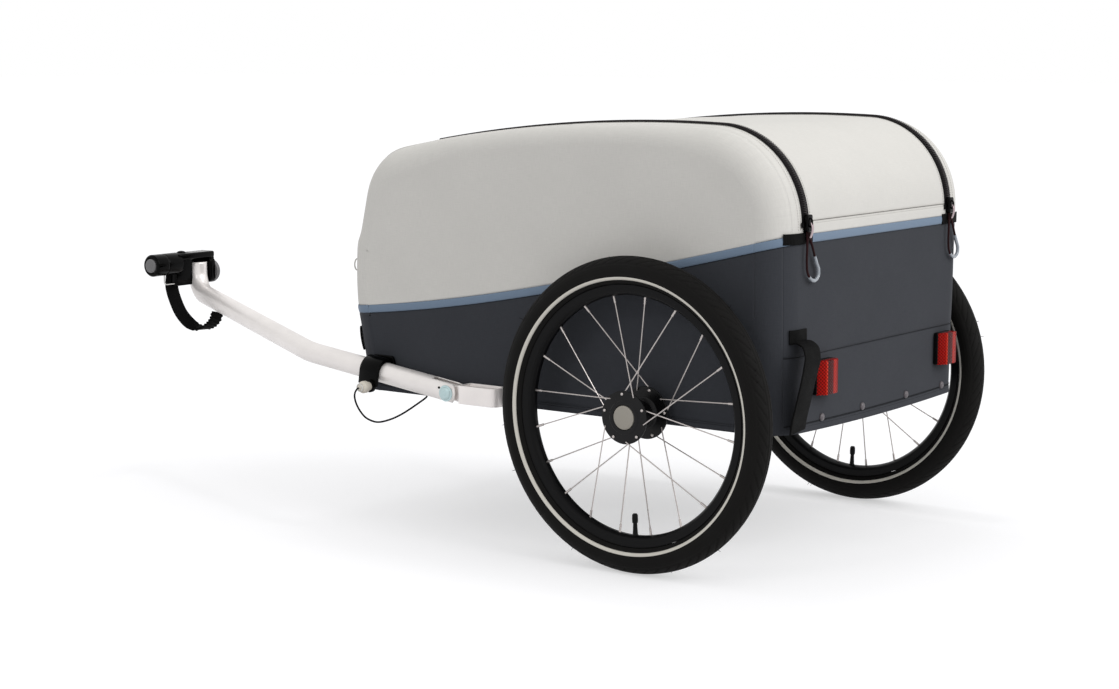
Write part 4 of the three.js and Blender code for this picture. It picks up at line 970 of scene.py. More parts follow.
def side_panel_parts(side, rows=70, columns=RUN_STEPS):
    """The upper side panel: a wrapped rim from the seam on the roof to the flat, and the flat side.

    The rim is skin(run, across); the flat's rows run from the rim's lower edge down to the tape's edge.
    """
    turns = np.linspace(PANEL_SEAM, 2, 9)[:, None]
    share = np.linspace(0, 1, columns)
    rear, front = (seam(turns[:, 0], ahead, PANEL_LAP)[:, None] for ahead in (False, True))
    run = rear + (front - rear) * share
    rim = skin(run, side * turns, CLOTH_DEPTH)
    edge = skin(run[-1], np.full(columns, 2.0))
    foot_x = edge[0, 0] + share * (edge[-1, 0] - edge[0, 0])
    foot = np.stack([foot_x, tape_top(foot_x) - PANEL_LAP], axis=1)
    down = np.linspace(0, 1, rows)[:, None, None]
    flat = edge[None, :, [0, 2]] * (1 - down) + foot[None] * down
    x, z = flat[..., 0], flat[..., 1]
    distance = np.hypot(x - edge[None, :, 0], z - edge[None, :, 2])
    y = flare(HALF_WIDTH - CLOTH_DEPTH, z) - panel_relief(x, z, distance, down[..., 0])
    return [
        grid(rim, uv=np.stack([run, 30 * turns + 0 * run], axis=-1)),
        grid(np.stack([x, side * y, z], axis=-1), uv=flat),
    ]


def add_side_panels():
    for name, side in SIDES.items():
        cloth(f"side_panel_cloth_{name}", side_panel_parts(side), "panel", "chassis", f"side_panel_{name}",
              "panel_fabric")


def rear_sag(points):
    """The rear hem hangs lower in its middle: REAR_SAG * (1 - (y / SAG_HALF) squared), fading out upwards."""
    bow = np.clip(1 - (points[..., 1] / SAG_HALF) ** 2, 0, 1)
    hang = bow * np.clip(1 - (points[..., 2] - HEM_HEIGHT) / SAG_RISE, 0, 1)
    return points - np.stack([0 * hang, 0 * hang, REAR_SAG * hang], axis=-1)


def skirt_relief(z, drop_from_tape):
    """Lower cloth: a doubled hem with its stitched groove, and a groove under the tape."""
    hem = -0.8 * (z < HEM_GROOVE) + valley(z - HEM_GROOVE, width=1.5, depth=1.4)
    return hem + valley(drop_from_tape, width=2.0, depth=0.8) + LAYER_DEPTH


def side_skirt_parts(side):
    """The lower side: round the rear corner from its seam, along the flat, and round the front corner."""
    up = np.linspace(0, 1, 80)[:, None]
    turns = np.linspace(SKIRT_SEAM, 2, 14)
    parts = []
    edges = {}
    for front in (False, True):
        top = seam(turns, front, TAPE_WIDTH)
        foot = hem(turns, front)
        run = foot + (top - foot) * up
        around = np.broadcast_to(turns, run.shape)
        depth = skirt_relief(skin(run, around)[..., 2], np.abs(top - run))
        parts.append(skin_grid(run, around, depth, side))
        edges[front] = skin(run, side * around, depth)[:, -1, None]
    share = np.linspace(0, 1, 260)
    flat = edges[False] + (edges[True] - edges[False]) * share[None, :, None]
    x = flat[..., 0]
    rise = tape_top(x[-1]) - TAPE_WIDTH - flat[-1, :, 2]
    z = flat[..., 2] + up * rise
    inside = np.clip(share * 12, 0, 1) * np.clip((1 - share) * 12, 0, 1) * np.sin(up * math.pi)
    drop = tape_top(x) - TAPE_WIDTH - z
    y = flare(HALF_WIDTH, z) - skirt_relief(z, drop) - inside * (1.2 + ripples(x, z, seed=17, height=0.7))
    parts.append(grid(np.stack([x, side * y, z], axis=-1), uv=np.stack([x, z], axis=-1)))
    return parts


def add_skirts():
    for name, side in SIDES.items():
        cloth(f"side_skirt_cloth_{name}", side_skirt_parts(side), "skirt", "chassis", f"side_skirt_{name}",
              "skirt_fabric")
    for name, front in (("rear", False), ("front", True)):
        across = np.linspace(-SKIRT_SEAM, SKIRT_SEAM, 160)
        top = seam(across, front, TAPE_WIDTH)

        def relief(run, y, top=top, front=front):
            z = np.interp(run, OUTLINE_RUN, OUTLINE[:, 1])
            middle_seam = valley(z - MIDDLE_SEAM, width=1.5, depth=1.2) * (not front)
            calm = np.sin(np.clip((z - 250) / 270, 0, 1) * math.pi)
            waves = ripples(run, y, seed=23, height=0.5) * calm
            return skirt_relief(z, np.abs(top - run)) + middle_seam + waves

        points, faces, pairs = skin_patch(hem(across, front), top, across, 150, relief)
        points = points if front else rear_sag(points)
        cloth(f"{name}_skirt_cloth", [(points, faces, pairs)], "skirt", "chassis", f"{name}_skirt",
              "skirt_fabric")


def add_tapes():
    """The blue-grey tape over the seam between the grey and the dark cloth, all round the box."""
    rows = np.linspace(0, 1, 7)[:, None]
    lift = TAPE_LIFT * (0.4 + 0.6 * np.sin(rows * math.pi))
    for name, front in (("rear", False), ("front", True)):
        across = np.linspace(-2, 2, 200)
        low = seam(across, front, TAPE_WIDTH + TAPE_OVERLAP)
        run = low + (seam(across, front, -TAPE_OVERLAP) - low) * rows
        cloth(f"{name}_tape", [skin_grid(run, across, lift)], "trim", "chassis", f"trim_{name}",
              "trim_strip", 1.2)
    ends = [skin(seam(2.0, front, TAPE_WIDTH / 2), 2.0)[0, 0] for front in (False, True)]
    x = np.linspace(*ends, 260)[None, :]
    z = tape_top(x) + TAPE_OVERLAP - (TAPE_WIDTH + 2 * TAPE_OVERLAP) * rows
    for name, side in SIDES.items():
        points = np.stack([x + 0 * z, side * (flare(HALF_WIDTH, z) - lift), z], axis=-1)
        cloth(f"side_tape_{name}", [grid(points, uv=points[..., [0, 2]])], "trim", "chassis",
              f"trim_{name}", "trim_strip", 1.2)


add_cover()
add_edge_bands()
add_front_panel()
add_side_panels()
add_skirts()
add_tapes()


# Zips

TOOTH_PITCH = 3.6
TOOTH_LENGTH = 7.0
TOOTH_RISE = 2.4
TOOTH_SPREAD = 4.6
ZIP_HALF = 10
TAPE_FOOT = 12
FIRST_TOOTH = 20
TOOTH_SLANT = 0.5
TOOTH_BASE = -1.1


def block_shape(half_a, half_b, height, taper=0.75):
    """A small raised block of eight corners: a base and a narrower top."""
    base = np.array([(-1, -1), (1, -1), (1, 1), (-1, 1)], float) * [half_a, half_b]
    return np.vstack([np.c_[base, np.zeros(4)], np.c_[base * taper, np.full(4, height)]])


BLOCK_FACES = [(3, 2, 1, 0), (4, 5, 6, 7), (0, 1, 5, 4), (1, 2, 6, 5), (2, 3, 7, 6), (3, 0, 4, 7)]
INSIDE_BOX = np.array([100, 0, 450])


def scattered(centres, a, b, c, shape):
    """Copies of a small block, each on its own centre and axes."""
    points = (centres[:, None] + shape[None, :, :1] * a[:, None] + shape[None, :, 1:2] * b[:, None]
              + shape[None, :, 2:] * c[:, None])
    count = len(centres)
    faces = (np.arange(count)[:, None, None] * len(shape) + np.array(BLOCK_FACES)[None]).reshape(-1, 4)
    return points.reshape(-1, 3), faces.tolist(), np.zeros((len(faces) * 4, 2))


TOOTH = block_shape(TOOTH_PITCH / 4, TOOTH_LENGTH / 2, TOOTH_RISE)


def add_zips():
    """Each zip in two halves, a tape with its row of teeth: the inner half opens with the cover."""
    foot, end = run_at("z", REAR_TAPE_TOP + TAPE_FOOT), LID_END
    run = np.linspace(foot, end, RUN_STEPS)[:, None]
    for name, side in SIDES.items():
        for row, (half, body) in enumerate((("inner", "cover"), ("outer", "chassis"))):
            y = ZIP_OFFSET + np.linspace(row - 1, row, 7)[None, :] * ZIP_HALF
            lift = 0.5 + 0.9 * np.cos((y - ZIP_OFFSET) / ZIP_HALF * QUARTER_TURN)
            tape = skin(run, side * across_at(run, y), -lift)
            cloth(f"zip_tape_{half}_{name}", [grid(tape, uv=np.stack([y + 0 * run, run + 0 * y], axis=-1))],
                  "zip_tape", body, f"zip_{name}" if row else (), "zip", 0.8)
            at = np.arange(foot + FIRST_TOOTH + row * TOOTH_PITCH / 2, end - 2, TOOTH_PITCH)
            middle = ZIP_OFFSET + (row - 0.5) * TOOTH_SPREAD

            def on_zip(run, y, side=side):
                return skin(run, side * across_at(run, y), TOOTH_BASE)

            centres = on_zip(at, middle)
            ahead = unit(on_zip(at + 1, middle) - centres)
            across = unit(on_zip(at, middle + 1) - centres)
            slanted = across + (row - 0.5) * TOOTH_SLANT * ahead
            up = np.cross(across, ahead)
            up *= np.sign(np.sum(up * (centres - INSIDE_BOX), axis=1, keepdims=True))
            piece(f"zip_teeth_{half}_{name}", [scattered(centres, ahead, slanted, up, TOOTH)], "zip_teeth",
                  body, slot="zip")


add_zips()


# Stitches

STITCH_PITCH = 4.2
STITCH = block_shape(1.35, 0.38, 0.45)


def stitch_row(line, out):
    """Dashes along a line of points, standing on the surface whose outward directions are out."""
    lengths = run_length(line)
    at = np.arange(2, lengths[-1] - 2, STITCH_PITCH)
    centres, up = (
        np.stack([np.interp(at, lengths, values[:, k]) for k in range(3)], axis=1) for values in (line, out)
    )
    ahead = unit(np.gradient(centres, axis=0))
    up = unit(up - ahead * np.sum(up * ahead, axis=1, keepdims=True))
    return scattered(centres, ahead, np.cross(up, ahead), up, STITCH)


def skin_stitches(run, across, depth=0.2):
    """A row of stitches along a line on the box's skin."""
    line = skin(run, across, depth)
    return stitch_row(line, skin(run, across, depth - 1) - line)


HEM_STITCHES = (-178, 590)
HEM_ROWS = (242, 239)
REAR_HEM_ROWS = (239, 244.5)
COVER_STITCH_INSET = 10
BAND_STITCH_ROWS = (9, 18)


def add_stitches():
    pale, dark, lid = [], [], []
    run = np.linspace(LID_FOOT + 6, LID_END - 4, 400)
    x = np.linspace(*HEM_STITCHES, 500)
    for side in SIDES.values():
        for gap in BAND_STITCH_ROWS:
            pale.append(skin_stitches(run, side * across_at(run, ZIP_OUT + gap)))
        lid.append(skin_stitches(run, side * across_at(run, ZIP_IN - COVER_STITCH_INSET)))
        for z in HEM_ROWS:
            wall = np.stack([x, side * (flare(HALF_WIDTH, z) + 0.2 + 0 * x), z + 0 * x], axis=1)
            dark.append(stitch_row(wall, np.broadcast_to([0.0, side, 0.0], wall.shape)))
    across = np.linspace(-1, 1, 300) * across_at(LID_HEM_SEAM, ZIP_IN - COVER_STITCH_INSET)
    for lift in (-2.5, 2.5):
        lid.append(skin_stitches(LID_HEM_SEAM + lift + 0 * across, across, -0.1))
    across = np.linspace(-SKIRT_CORNER, SKIRT_CORNER, 500)
    for z in REAR_HEM_ROWS:
        line, outside = (skin(run_at("z", z) + 0 * across, across, depth) for depth in (0.2, -0.8))
        dark.append(stitch_row(rear_sag(line), outside - line))
    piece("cover_stitches", lid, "thread", "cover", slot="cover_fabric")
    piece("pale_stitches", pale, "thread", "chassis", slot="cover_fabric")
    piece("dark_stitches", dark, "dark_thread_and_shadow", "chassis", slot="skirt_fabric")


add_stitches()


SHADOW_LINE_RADIUS = 0.55
SEAM_HEIGHTS = (349, 243)


def add_seam_lines():
    """Thin rods of painted shadow where a doubled hem ends: on the cover, across the rear wall, and along the
    foot.
    """
    across = np.linspace(-1, 1, 120) * across_at(LID_HEM_SEAM, ZIP_IN - 3)
    # Painted shadow: a thin rod of shadow grey along the cover's hem seam.
    cover = rod(skin(LID_HEM_SEAM + 1.2 + 0 * across, across, 0.9), SHADOW_LINE_RADIUS, 6)
    piece("cover_seam_shadow_line", [cover], "seam_shadow", "cover", slot="cover_fabric")
    across = np.linspace(-SKIRT_CORNER, SKIRT_CORNER, 120)
    # Painted shadow: thin rods in the dark thread colour along the rear wall's seams.
    lines = [
        rod(rear_sag(skin(run_at("z", z) + 0 * across, across, 0.5)), SHADOW_LINE_RADIUS, 6) for z in SEAM_HEIGHTS
    ]
    piece("skirt_seam_shadow_lines", lines, "dark_thread_and_shadow", "chassis", slot="skirt_fabric")


add_seam_lines()


# Zip sliders and pulls

GRIP_SHARES = (0.40, 0.76)
CORD_RADIUS = 1.8
BRIDGE = [(0, 8), (-3.4, 6), (-3.4, -4), (0, -6)]
PLATE = [(-3.4, 1), (-5.4, -6), (-4.6, -14), (-1.8, -22)]


def add_zip_ends():
    """The slider: a block, a bridge on it and a hanging plate. The pull: a cord loop, a grip and a knot."""
    for name in SIDES:
        low, high = mm_box(f"zip_slider_{name}")
        middle = (low + high) / 2
        face = np.array([low[0], middle[1], middle[2]])
        rider = f"zip_pull_{name}"
        block = moved(slab(rounded_loop(8.0, 13.2, 3.5), "x", low[0] - 1.0, high[0], 1.6), [0, *middle[1:]])
        bridge_line, plate_line = (
            smooth_path([face + [x, 0, z] for x, z in line], 1.0) for line in (BRIDGE, PLATE)
        )
        piece(f"zip_slider_body_{name}", [block, rod(bridge_line, 1.5, 10)], "black", rider,
              f"zip_slider_{name}", "steel")
        plate = closed_tube(sweep(plate_line, strap_section(5.6, 1.4), LEFTWARD))
        piece(f"zip_slider_plate_{name}", [plate], "puller", rider, slot="steel")
        top = np.array([middle[0], middle[1], low[2] - PULL_TOP_DROP])
        path = smooth_path(np.array(PULL_LOOP) + top, 1.2)
        made = piece(f"zip_pull_cord_{name}", [rod(path, CORD_RADIUS, 12)], "pull_cord", rider, rider,
                     "pull_cord")
        first, last = (int(share * len(path)) for share in GRIP_SHARES)
        swell = 2.9 - 0.5 * np.abs(np.linspace(-1, 1, last - first)) ** 6
        cover = piece(f"zip_pull_grip_{name}", [rod(path[first:last], swell, 16)], "pull_grip", rider,
                      slot="pull_cord")
        knot = turned(dome(3.4, 4.2, count=12, last=math.pi - 0.05), "z", top + [0, 0, -12], 20)
        tie = piece(f"zip_pull_knot_{name}", [knot], "pull_cord", rider, slot="pull_cord")


add_zip_ends()


# Webbing tabs, rivets and reflectors on the rear wall

TAB_STARTS = {"corner_left": 214, "corner_right": 212, "flag": 230}
TAB_RUN = 300
FLAG_TAB_RUN = 150
ZIP_STOP = (218, 246)
RIVET_RADIUS = 6.3
RIVET_HEIGHT = 246.5
RIVET_FACE = BOX_REAR - 0.4
RIVET_PLACES = (180, 49, -101, -231)


def wall_patch(low, high, across, lift):
    """A patch on the rear wall between two heights, standing proud by a lift."""
    run = np.linspace(run_at("z", low), run_at("z", high), 12)[:, None]
    return skin_grid(run, across, -lift)


def add_webbing_tabs():
    top = REAR_TAPE_TOP + 3.5
    zip_end = REAR_TAPE_TOP + 11
    tabs = {
        "corner_tab_left": (
            top - 17, top, np.linspace(across_at(TAB_RUN, TAB_STARTS["corner_left"]), 1.42, 50)),
        "corner_tab_right": (
            top - 17, top, np.linspace(-1.38, -across_at(TAB_RUN, TAB_STARTS["corner_right"]), 50)),
        "flag_strap_tab": (370, 392, np.linspace(across_at(FLAG_TAB_RUN, TAB_STARTS["flag"]), 1.29, 40)),
    }
    for name, side in SIDES.items():
        across = np.sort(side * np.linspace(*(across_at(TAB_RUN, y) for y in ZIP_STOP), 20))
        cloth(f"zip_stop_{name}", [wall_patch(zip_end, zip_end + 8, across, 2.6)], "webbing", "chassis", (),
              "webbing", 1.8)
    for node, (low, high, across) in tabs.items():
        cloth(f"{node}_webbing", [wall_patch(low, high, across, 2.2)], "webbing", "chassis", node, "webbing",
              1.8)


def add_rivets():
    """The batten inside the hem, and domed rivet heads on the cloth."""
    low, high = mm_box("rivet_rail")
    loop = rounded_loop((high[2] - low[2]) / 2, (high[1] - low[1]) / 2, 2)
    batten = slab(loop[:, ::-1], "x", low[0] + 6, high[0], 0.6)
    batten = moved(batten, [0, (low[1] + high[1]) / 2, (low[2] + high[2]) / 2])
    piece("rear_batten", [batten], "frame", "chassis", "rivet_rail", "aluminium")
    profile = np.vstack([dome(RIVET_RADIUS, -3.4, first=0.02, count=8), [[RIVET_RADIUS, 0.9]]])
    heads = [turned(profile, "x", (RIVET_FACE, y, RIVET_HEIGHT), 24) for y in RIVET_PLACES]
    piece("rivet_heads", heads, "rivet", "chassis", slot="steel")


REFLECTORS = {"left": (185, 312), "right": (-225, 312)}
LENS_SEAT = BOX_REAR - 0.3
LENS_HALF = 27
LENS_PLAN = [
    (-7, 26), (-9.5, 24.8), (-18.4, 15.2), (-19.8, 12.8), (-20, 0), (-19.8, -19), (-18, -22.4),
    (-10, -25.6), (-7, -26),
]


def add_reflectors():
    """A black base, and a lens whose plan has one slanted facet, a flat front and a steep edge."""
    for name, (y, z) in REFLECTORS.items():
        lens = slab(smooth_profile(LENS_PLAN, 1.2), "z", -LENS_HALF, LENS_HALF, 1.4)
        piece(f"reflector_lens_{name}", [moved(lens, [LENS_SEAT, y, z])], "reflector", "chassis",
              f"reflector_{name}", "reflector_red")
        base = slab(rounded_loop(26.4, 27.4, 4), "x", BOX_REAR - 8.2, LENS_SEAT, 0.8)
        piece(f"reflector_base_{name}", [moved(base, [0, y, z])], "dull_black", "chassis",
              slot="reflector_red")


add_webbing_tabs()
add_rivets()
add_reflectors()


# Wheels

WHEEL_OFFSET = 361
AXLE_HEIGHT = 250
TYRE_SECTION = 23.4
TYRE_CENTRE = AXLE_HEIGHT - TYRE_SECTION
SECTION_END = 2.55
BEAD_START = 2.0
BEAD_SHARE = 0.93
CROWN_GROOVE = 9
SHOULDER_GROOVE = 58
SIPE_PITCH = 5.0
SIPE_SIDE_STEP = 1.2
SIPE_SLANT = 0.16
SIPE_ZERO = 12
SIPE_SPAN = (14, 56)
SIPE_DEPTH = 1.3
SIPE_WIDTH = 1.5
WALL_RING_DEPTH = 0.18
WALL_RINGS = 60
WALL_SPAN = (62, 100)
STRIPE_RADIUS = 216.5
STRIPE_HALF = 0.145
RIM_INNER = 189
SPOKE_COUNT = 20
SPOKE_CIRCLE = 37
SPOKE_CLEAR = 1.3
FIRST_SPOKE = 7
LEADING_TURN = 42
TRAILING_TURN = -30
FLANGE_OUT = 24
FLANGE_IN = 37.5
FLANGE = 3
NIPPLE = 13
RIM_LOOP = [
    (RIM_INNER, -3.5), (RIM_INNER + 3, -9), (195, -12.2), (206.4, -13), (207, -11.4), (202, -10.2), (200, -9),
    (200, 9), (202, 10.2), (207, 11.4), (206.4, 13), (195, 12.2), (RIM_INNER + 3, 9), (RIM_INNER, 3.5),
]
HUB_LOOP = [
    (12.3, -43), (22, -43), (22, -37.5), (42, -37.5), (42, -34.5), (24, -33), (19.5, -28), (18.5, -5),
    (22, 10), (24, 19.5), (42, 21), (42, 24), (27, 24), (26, 25.2), (20.4, 25.2), (19.4, 24), (19.4, 15),
    (12.3, 15),
]
BUTTON_SIDE = [(18.6, 25.0), (19, 23.6), (19, 19.4), (3, 19.4), (3, -4.6), (0.2, -4.6)]


def between(value, span, fade):
    """1 inside a span and 0 outside it, changing over a fade."""
    return np.clip((value - span[0]) / fade, 0, 1) * np.clip((span[1] - value) / fade, 0, 1)


def tyre_points(count=1000):
    """The tyre: a round section turned about the axle, with its tread pressed in.

    depth(angle, section) = crown grooves + slanted sipes on both shoulders + fine rings on the walls.
    """
    section = np.linspace(-SECTION_END, SECTION_END, 76)[:, None]
    wheel_turn = np.arange(count)[None, :] * FULL_TURN / count
    tilt = np.abs(np.degrees(section))
    crown = valley(tilt - CROWN_GROOVE, width=2.2, depth=1.0)
    slant = np.sign(section) * SIPE_SIDE_STEP + (tilt - SIPE_ZERO) * SIPE_SLANT
    phase = (np.degrees(wheel_turn) + slant) % SIPE_PITCH
    arc = (phase - SIPE_PITCH / 2) / 360 * FULL_TURN * AXLE_HEIGHT
    sipes = valley(arc, SIPE_WIDTH, SIPE_DEPTH) * between(tilt, SIPE_SPAN, 3)
    shoulder = valley(tilt - SHOULDER_GROOVE, width=2.4, depth=0.7)
    walls = WALL_RING_DEPTH * np.sin(np.radians(tilt) * WALL_RINGS) * between(tilt, WALL_SPAN, 4)
    radius = TYRE_SECTION - crown - sipes - shoulder - walls
    out = TYRE_CENTRE + radius * np.cos(section)
    along = radius * np.sin(section) * np.where(np.abs(section) > BEAD_START, BEAD_SHARE, 1.0)
    return np.stack([out * np.cos(wheel_turn), along + 0 * wheel_turn, out * np.sin(wheel_turn)], axis=-1)


def placed(part, side):
    """A part of a wheel about its own centre, outer side towards +y, set in place on one side."""
    return (part[0] * [side, side, 1] + [0, side * WHEEL_OFFSET, AXLE_HEIGHT], *part[1:])


def polar(radius, degrees, y):
    angle = math.radians(degrees)
    return np.array([radius * math.cos(angle), y, radius * math.sin(angle)])


def spoke_parts(index):
    """A spoke from its elbow in the flange to its nipple in the rim, with its head."""
    outer = index % 2 == 0
    leads = index % 4 in (0, 3)
    face = FLANGE_OUT if outer else -FLANGE_IN
    inward = -1 if outer else 1
    rim_angle = FIRST_SPOKE + index * 360 / SPOKE_COUNT
    hub_angle = rim_angle + (LEADING_TURN if leads else TRAILING_TURN)
    outside, inside = face - inward * SPOKE_CLEAR, face + inward * (FLANGE + SPOKE_CLEAR)
    start, leave = (inside, outside) if leads else (outside, inside)
    seat, root = (polar(SPOKE_CIRCLE, hub_angle, y) for y in (start, leave))
    tip = polar(RIM_INNER + 1, rim_angle, 0)
    ahead = (tip - root) / np.linalg.norm(tip - root)
    line = np.vstack([seat, root - (root - seat) * 0.2, root + ahead * 2.4, tip - ahead * NIPPLE])
    wire = rod(bent_path(line, [1.2, 1.2], 6.0), 1.0, 8)
    nipple_line = np.array([tip - ahead * (NIPPLE + 0.5), tip - ahead * NIPPLE, tip - ahead * 3, tip])
    nipple = rod(nipple_line, np.array([1.2, 1.9, 2.0, 2.2]), 10)
    push = np.sign(start - leave)
    head = turned(dome(2.5, push * 1.6, count=5), "y", polar(SPOKE_CIRCLE, hub_angle, start - push * 0.4), 14)
    return wire, nipple, head


def stripe(face):
    """A reflective band on the tyre's wall, on its outer (1) or inner (-1) face."""
    middle = math.asin((STRIPE_RADIUS - TYRE_CENTRE) / TYRE_SECTION)
    turns = middle + np.linspace(-STRIPE_HALF, STRIPE_HALF, 6)
    lift = TYRE_SECTION + np.array([-0.6, 0.25, 0.35, 0.35, 0.25, -0.6])
    profile = np.c_[TYRE_CENTRE + lift * np.sin(turns), face * lift * np.cos(turns)]
    back = profile[::-1] - [0, face * 0.8]
    return turned(np.vstack([profile, back, profile[:1]]), count=256)


def add_wheels():
    crown = np.c_[np.linspace(0.2, 17.4, 8), 26.9 - 1.3 * np.linspace(0, 1, 8) ** 3]
    spokes = [part for k in range(SPOKE_COUNT) for part in spoke_parts(k)]
    wheel_pieces = [
        ("tyre_rubber", [grid(tyre_points(), ring=True, loop=True)], "rubber", "tyre", "tyre_rubber"),
        ("reflective_stripe", [stripe(1), stripe(-1)], "stripe", None, "tyre_rubber"),
        ("rim_black", [turned(smooth_profile([*RIM_LOOP, RIM_LOOP[0]], 0.8), count=200)], "rim", "rim",
         "rim_black"),
        ("hub_shell", [turned(smooth_profile([*HUB_LOOP, HUB_LOOP[0]], 1.1), count=96)], "hub", "hub",
         "hub_black"),
        ("spokes", spokes, "spoke", None, "steel"),
        ("hub_button_cap", [turned(np.vstack([crown, BUTTON_SIDE]), count=72)], "button", "hub_button",
         "button_grey"),
    ]
    for name, side in SIDES.items():
        body = f"wheel_{name}"
        for label, parts, finish, node, slot in wheel_pieces:
            rider = f"hub_button_{name}" if node == "hub_button" else body
            piece(f"{label}_{name}", [placed(part, side) for part in parts], finish, rider,
                  f"{node}_{name}" if node else (), slot)
        add_valve(name, side, body)
        add_tyre_hairs(name, side, body)


VALVE_ANGLE = 268
HAIRLESS = (255, 285)


def add_valve(name, side, body):
    """A rubber stem through the rim with a knurled cap."""
    base, tip = polar(RIM_INNER + 4, VALVE_ANGLE, 0), polar(RIM_INNER - 22, VALVE_ANGLE, 0)
    line = base + (tip - base) * np.array([0, 0.14, 0.2, 0.6, 1.0])[:, None]
    stem = rod(line, np.array([5.6, 5.2, 4.2, 3.6, 3.2]), 20)
    top = polar(RIM_INNER - 34, VALVE_ANGLE, 0)
    cap_line = tip + (top - tip) * np.array([-0.25, -0.2, 0.3, 0.8, 1.0])[:, None]
    valve_cap = rod(cap_line, np.array([3.4, 4.6, 4.8, 4.6, 3.2]), 12)
    parts = [placed(stem, side), placed(valve_cap, side)]
    piece(f"valve_{name}", parts, "dull_black", body, slot="tyre_rubber")


def add_tyre_hairs(name, side, body):
    """Moulding hairs left on a new tyre's shoulders."""
    chance = np.random.default_rng(41 + side)
    hairs = []
    for degrees in chance.uniform(0, 360, 16):
        tilt = chance.choice([-1, 1]) * chance.uniform(0.2, 0.7)
        reach = chance.uniform(3.5, 6.5)
        root = polar(TYRE_CENTRE + TYRE_SECTION * math.cos(tilt), degrees, TYRE_SECTION * math.sin(tilt))
        outward = polar(math.cos(tilt), degrees, math.sin(tilt))
        if HAIRLESS[0] < degrees < HAIRLESS[1]:
            continue
        lean = polar(1, degrees + 90, 0) * chance.uniform(-0.3, 0.3)
        line = root + np.array([-outward, (outward + lean * 0.3) * reach * 0.5, (outward + lean) * reach])
        hairs.append(placed(rod(line, np.array([0.5, 0.4, 0.25]), 5), side))
    piece(f"tyre_hairs_{name}", hairs, "rubber", body, slot="tyre_rubber")


add_wheels()


# Frame tubes, axle beam

BEAM_PROFILE = [(6.3, -314), (15, -314), (15, -286), (12, -286), (12, 286), (15, 286), (15, 314), (6.3, 314)]
HOOP_INSET = 30.0
HOOP_RADIUS = 11


def add_frame():
    """The axle beam, turned; the side hoops, rods set inside the skin's outline; the round top tubes."""
    beam = turned(smooth_profile(BEAM_PROFILE, 1.0), "y", (0, 0, AXLE_HEIGHT), 48)
    piece("axle_beam_tube", [beam], "frame", "chassis", "axle_beam", "aluminium")
    line = skin(np.linspace(70, OUTLINE_END - 70, 160), 0.0, HOOP_INSET)
    for name in SIDES:
        low, high = mm_box(f"hoop_{name}")
        y = (low[1] + high[1]) / 2
        path = np.vstack([
            [line[0, 0], y, low[2]], np.c_[line[:, 0], np.full(len(line), y), line[:, 2]],
            [line[-1, 0] - 4, y, low[2]],
        ])
        path = path[path[:, 2] >= low[2]]
        piece(f"hoop_tube_{name}", [rod(evenly(path, 8.0), HOOP_RADIUS, 20)], "frame", "chassis",
              f"hoop_{name}", "aluminium")
    for node in ("top_tube_rear", "top_tube_front"):
        low, high = mm_box(node)
        middle = (low + high) / 2
        ends = np.array([[middle[0], y, middle[2]] for y in (low[1], high[1])])
        tube = rod(evenly(ends, 40.0), (high[0] - low[0]) / 2, 24)
        piece(f"{node}_round", [tube], "frame", "chassis", node, "aluminium")


add_frame()


# Drawbar

BAR_RADIUS = 18
BAR_OFFSET = 321
HINGE = np.array([392, 321, 246])
BAR_RISE = 0.13
ELBOW_AHEAD = 714
BAR_BENDS = (118, 45)
COUPLING_AHEAD = 1189
COUPLING_OFFSET = 123
SECOND_RISE = 0.125
BAR_TOP = 404
PIVOT_DROP = -19
FORK_HALF = 7.4
FORK_REACH = 38
FOLD_PAST_UPRIGHT = math.radians(15)
BRACKET_HALF = 15.5
FOLD_GAP = 0.6
SLOT_TURN = 1.126
CUT_ROWS = 6
PIN_HOLE = (408, BAR_OFFSET + 16.9, 254)
PLUG_SPHERE = 26.2
PLUG_RADIUS = 17.7
PLUG_STEM = [(PLUG_RADIUS, -0.6), (15.4, -0.8), (15.4, -6), (0.1, -6)]


def bar_path():
    """Forward from the hinge to the elbow, slanting in to the coupling, then straight up."""
    elbow = HINGE[2] + BAR_RISE * (ELBOW_AHEAD - HINGE[0])
    foot = elbow + SECOND_RISE * (COUPLING_AHEAD - ELBOW_AHEAD)
    return bent_path([
        HINGE, (ELBOW_AHEAD, BAR_OFFSET, elbow), (COUPLING_AHEAD, COUPLING_OFFSET, foot),
        (COUPLING_AHEAD, COUPLING_OFFSET, BAR_TOP),
    ], BAR_BENDS)


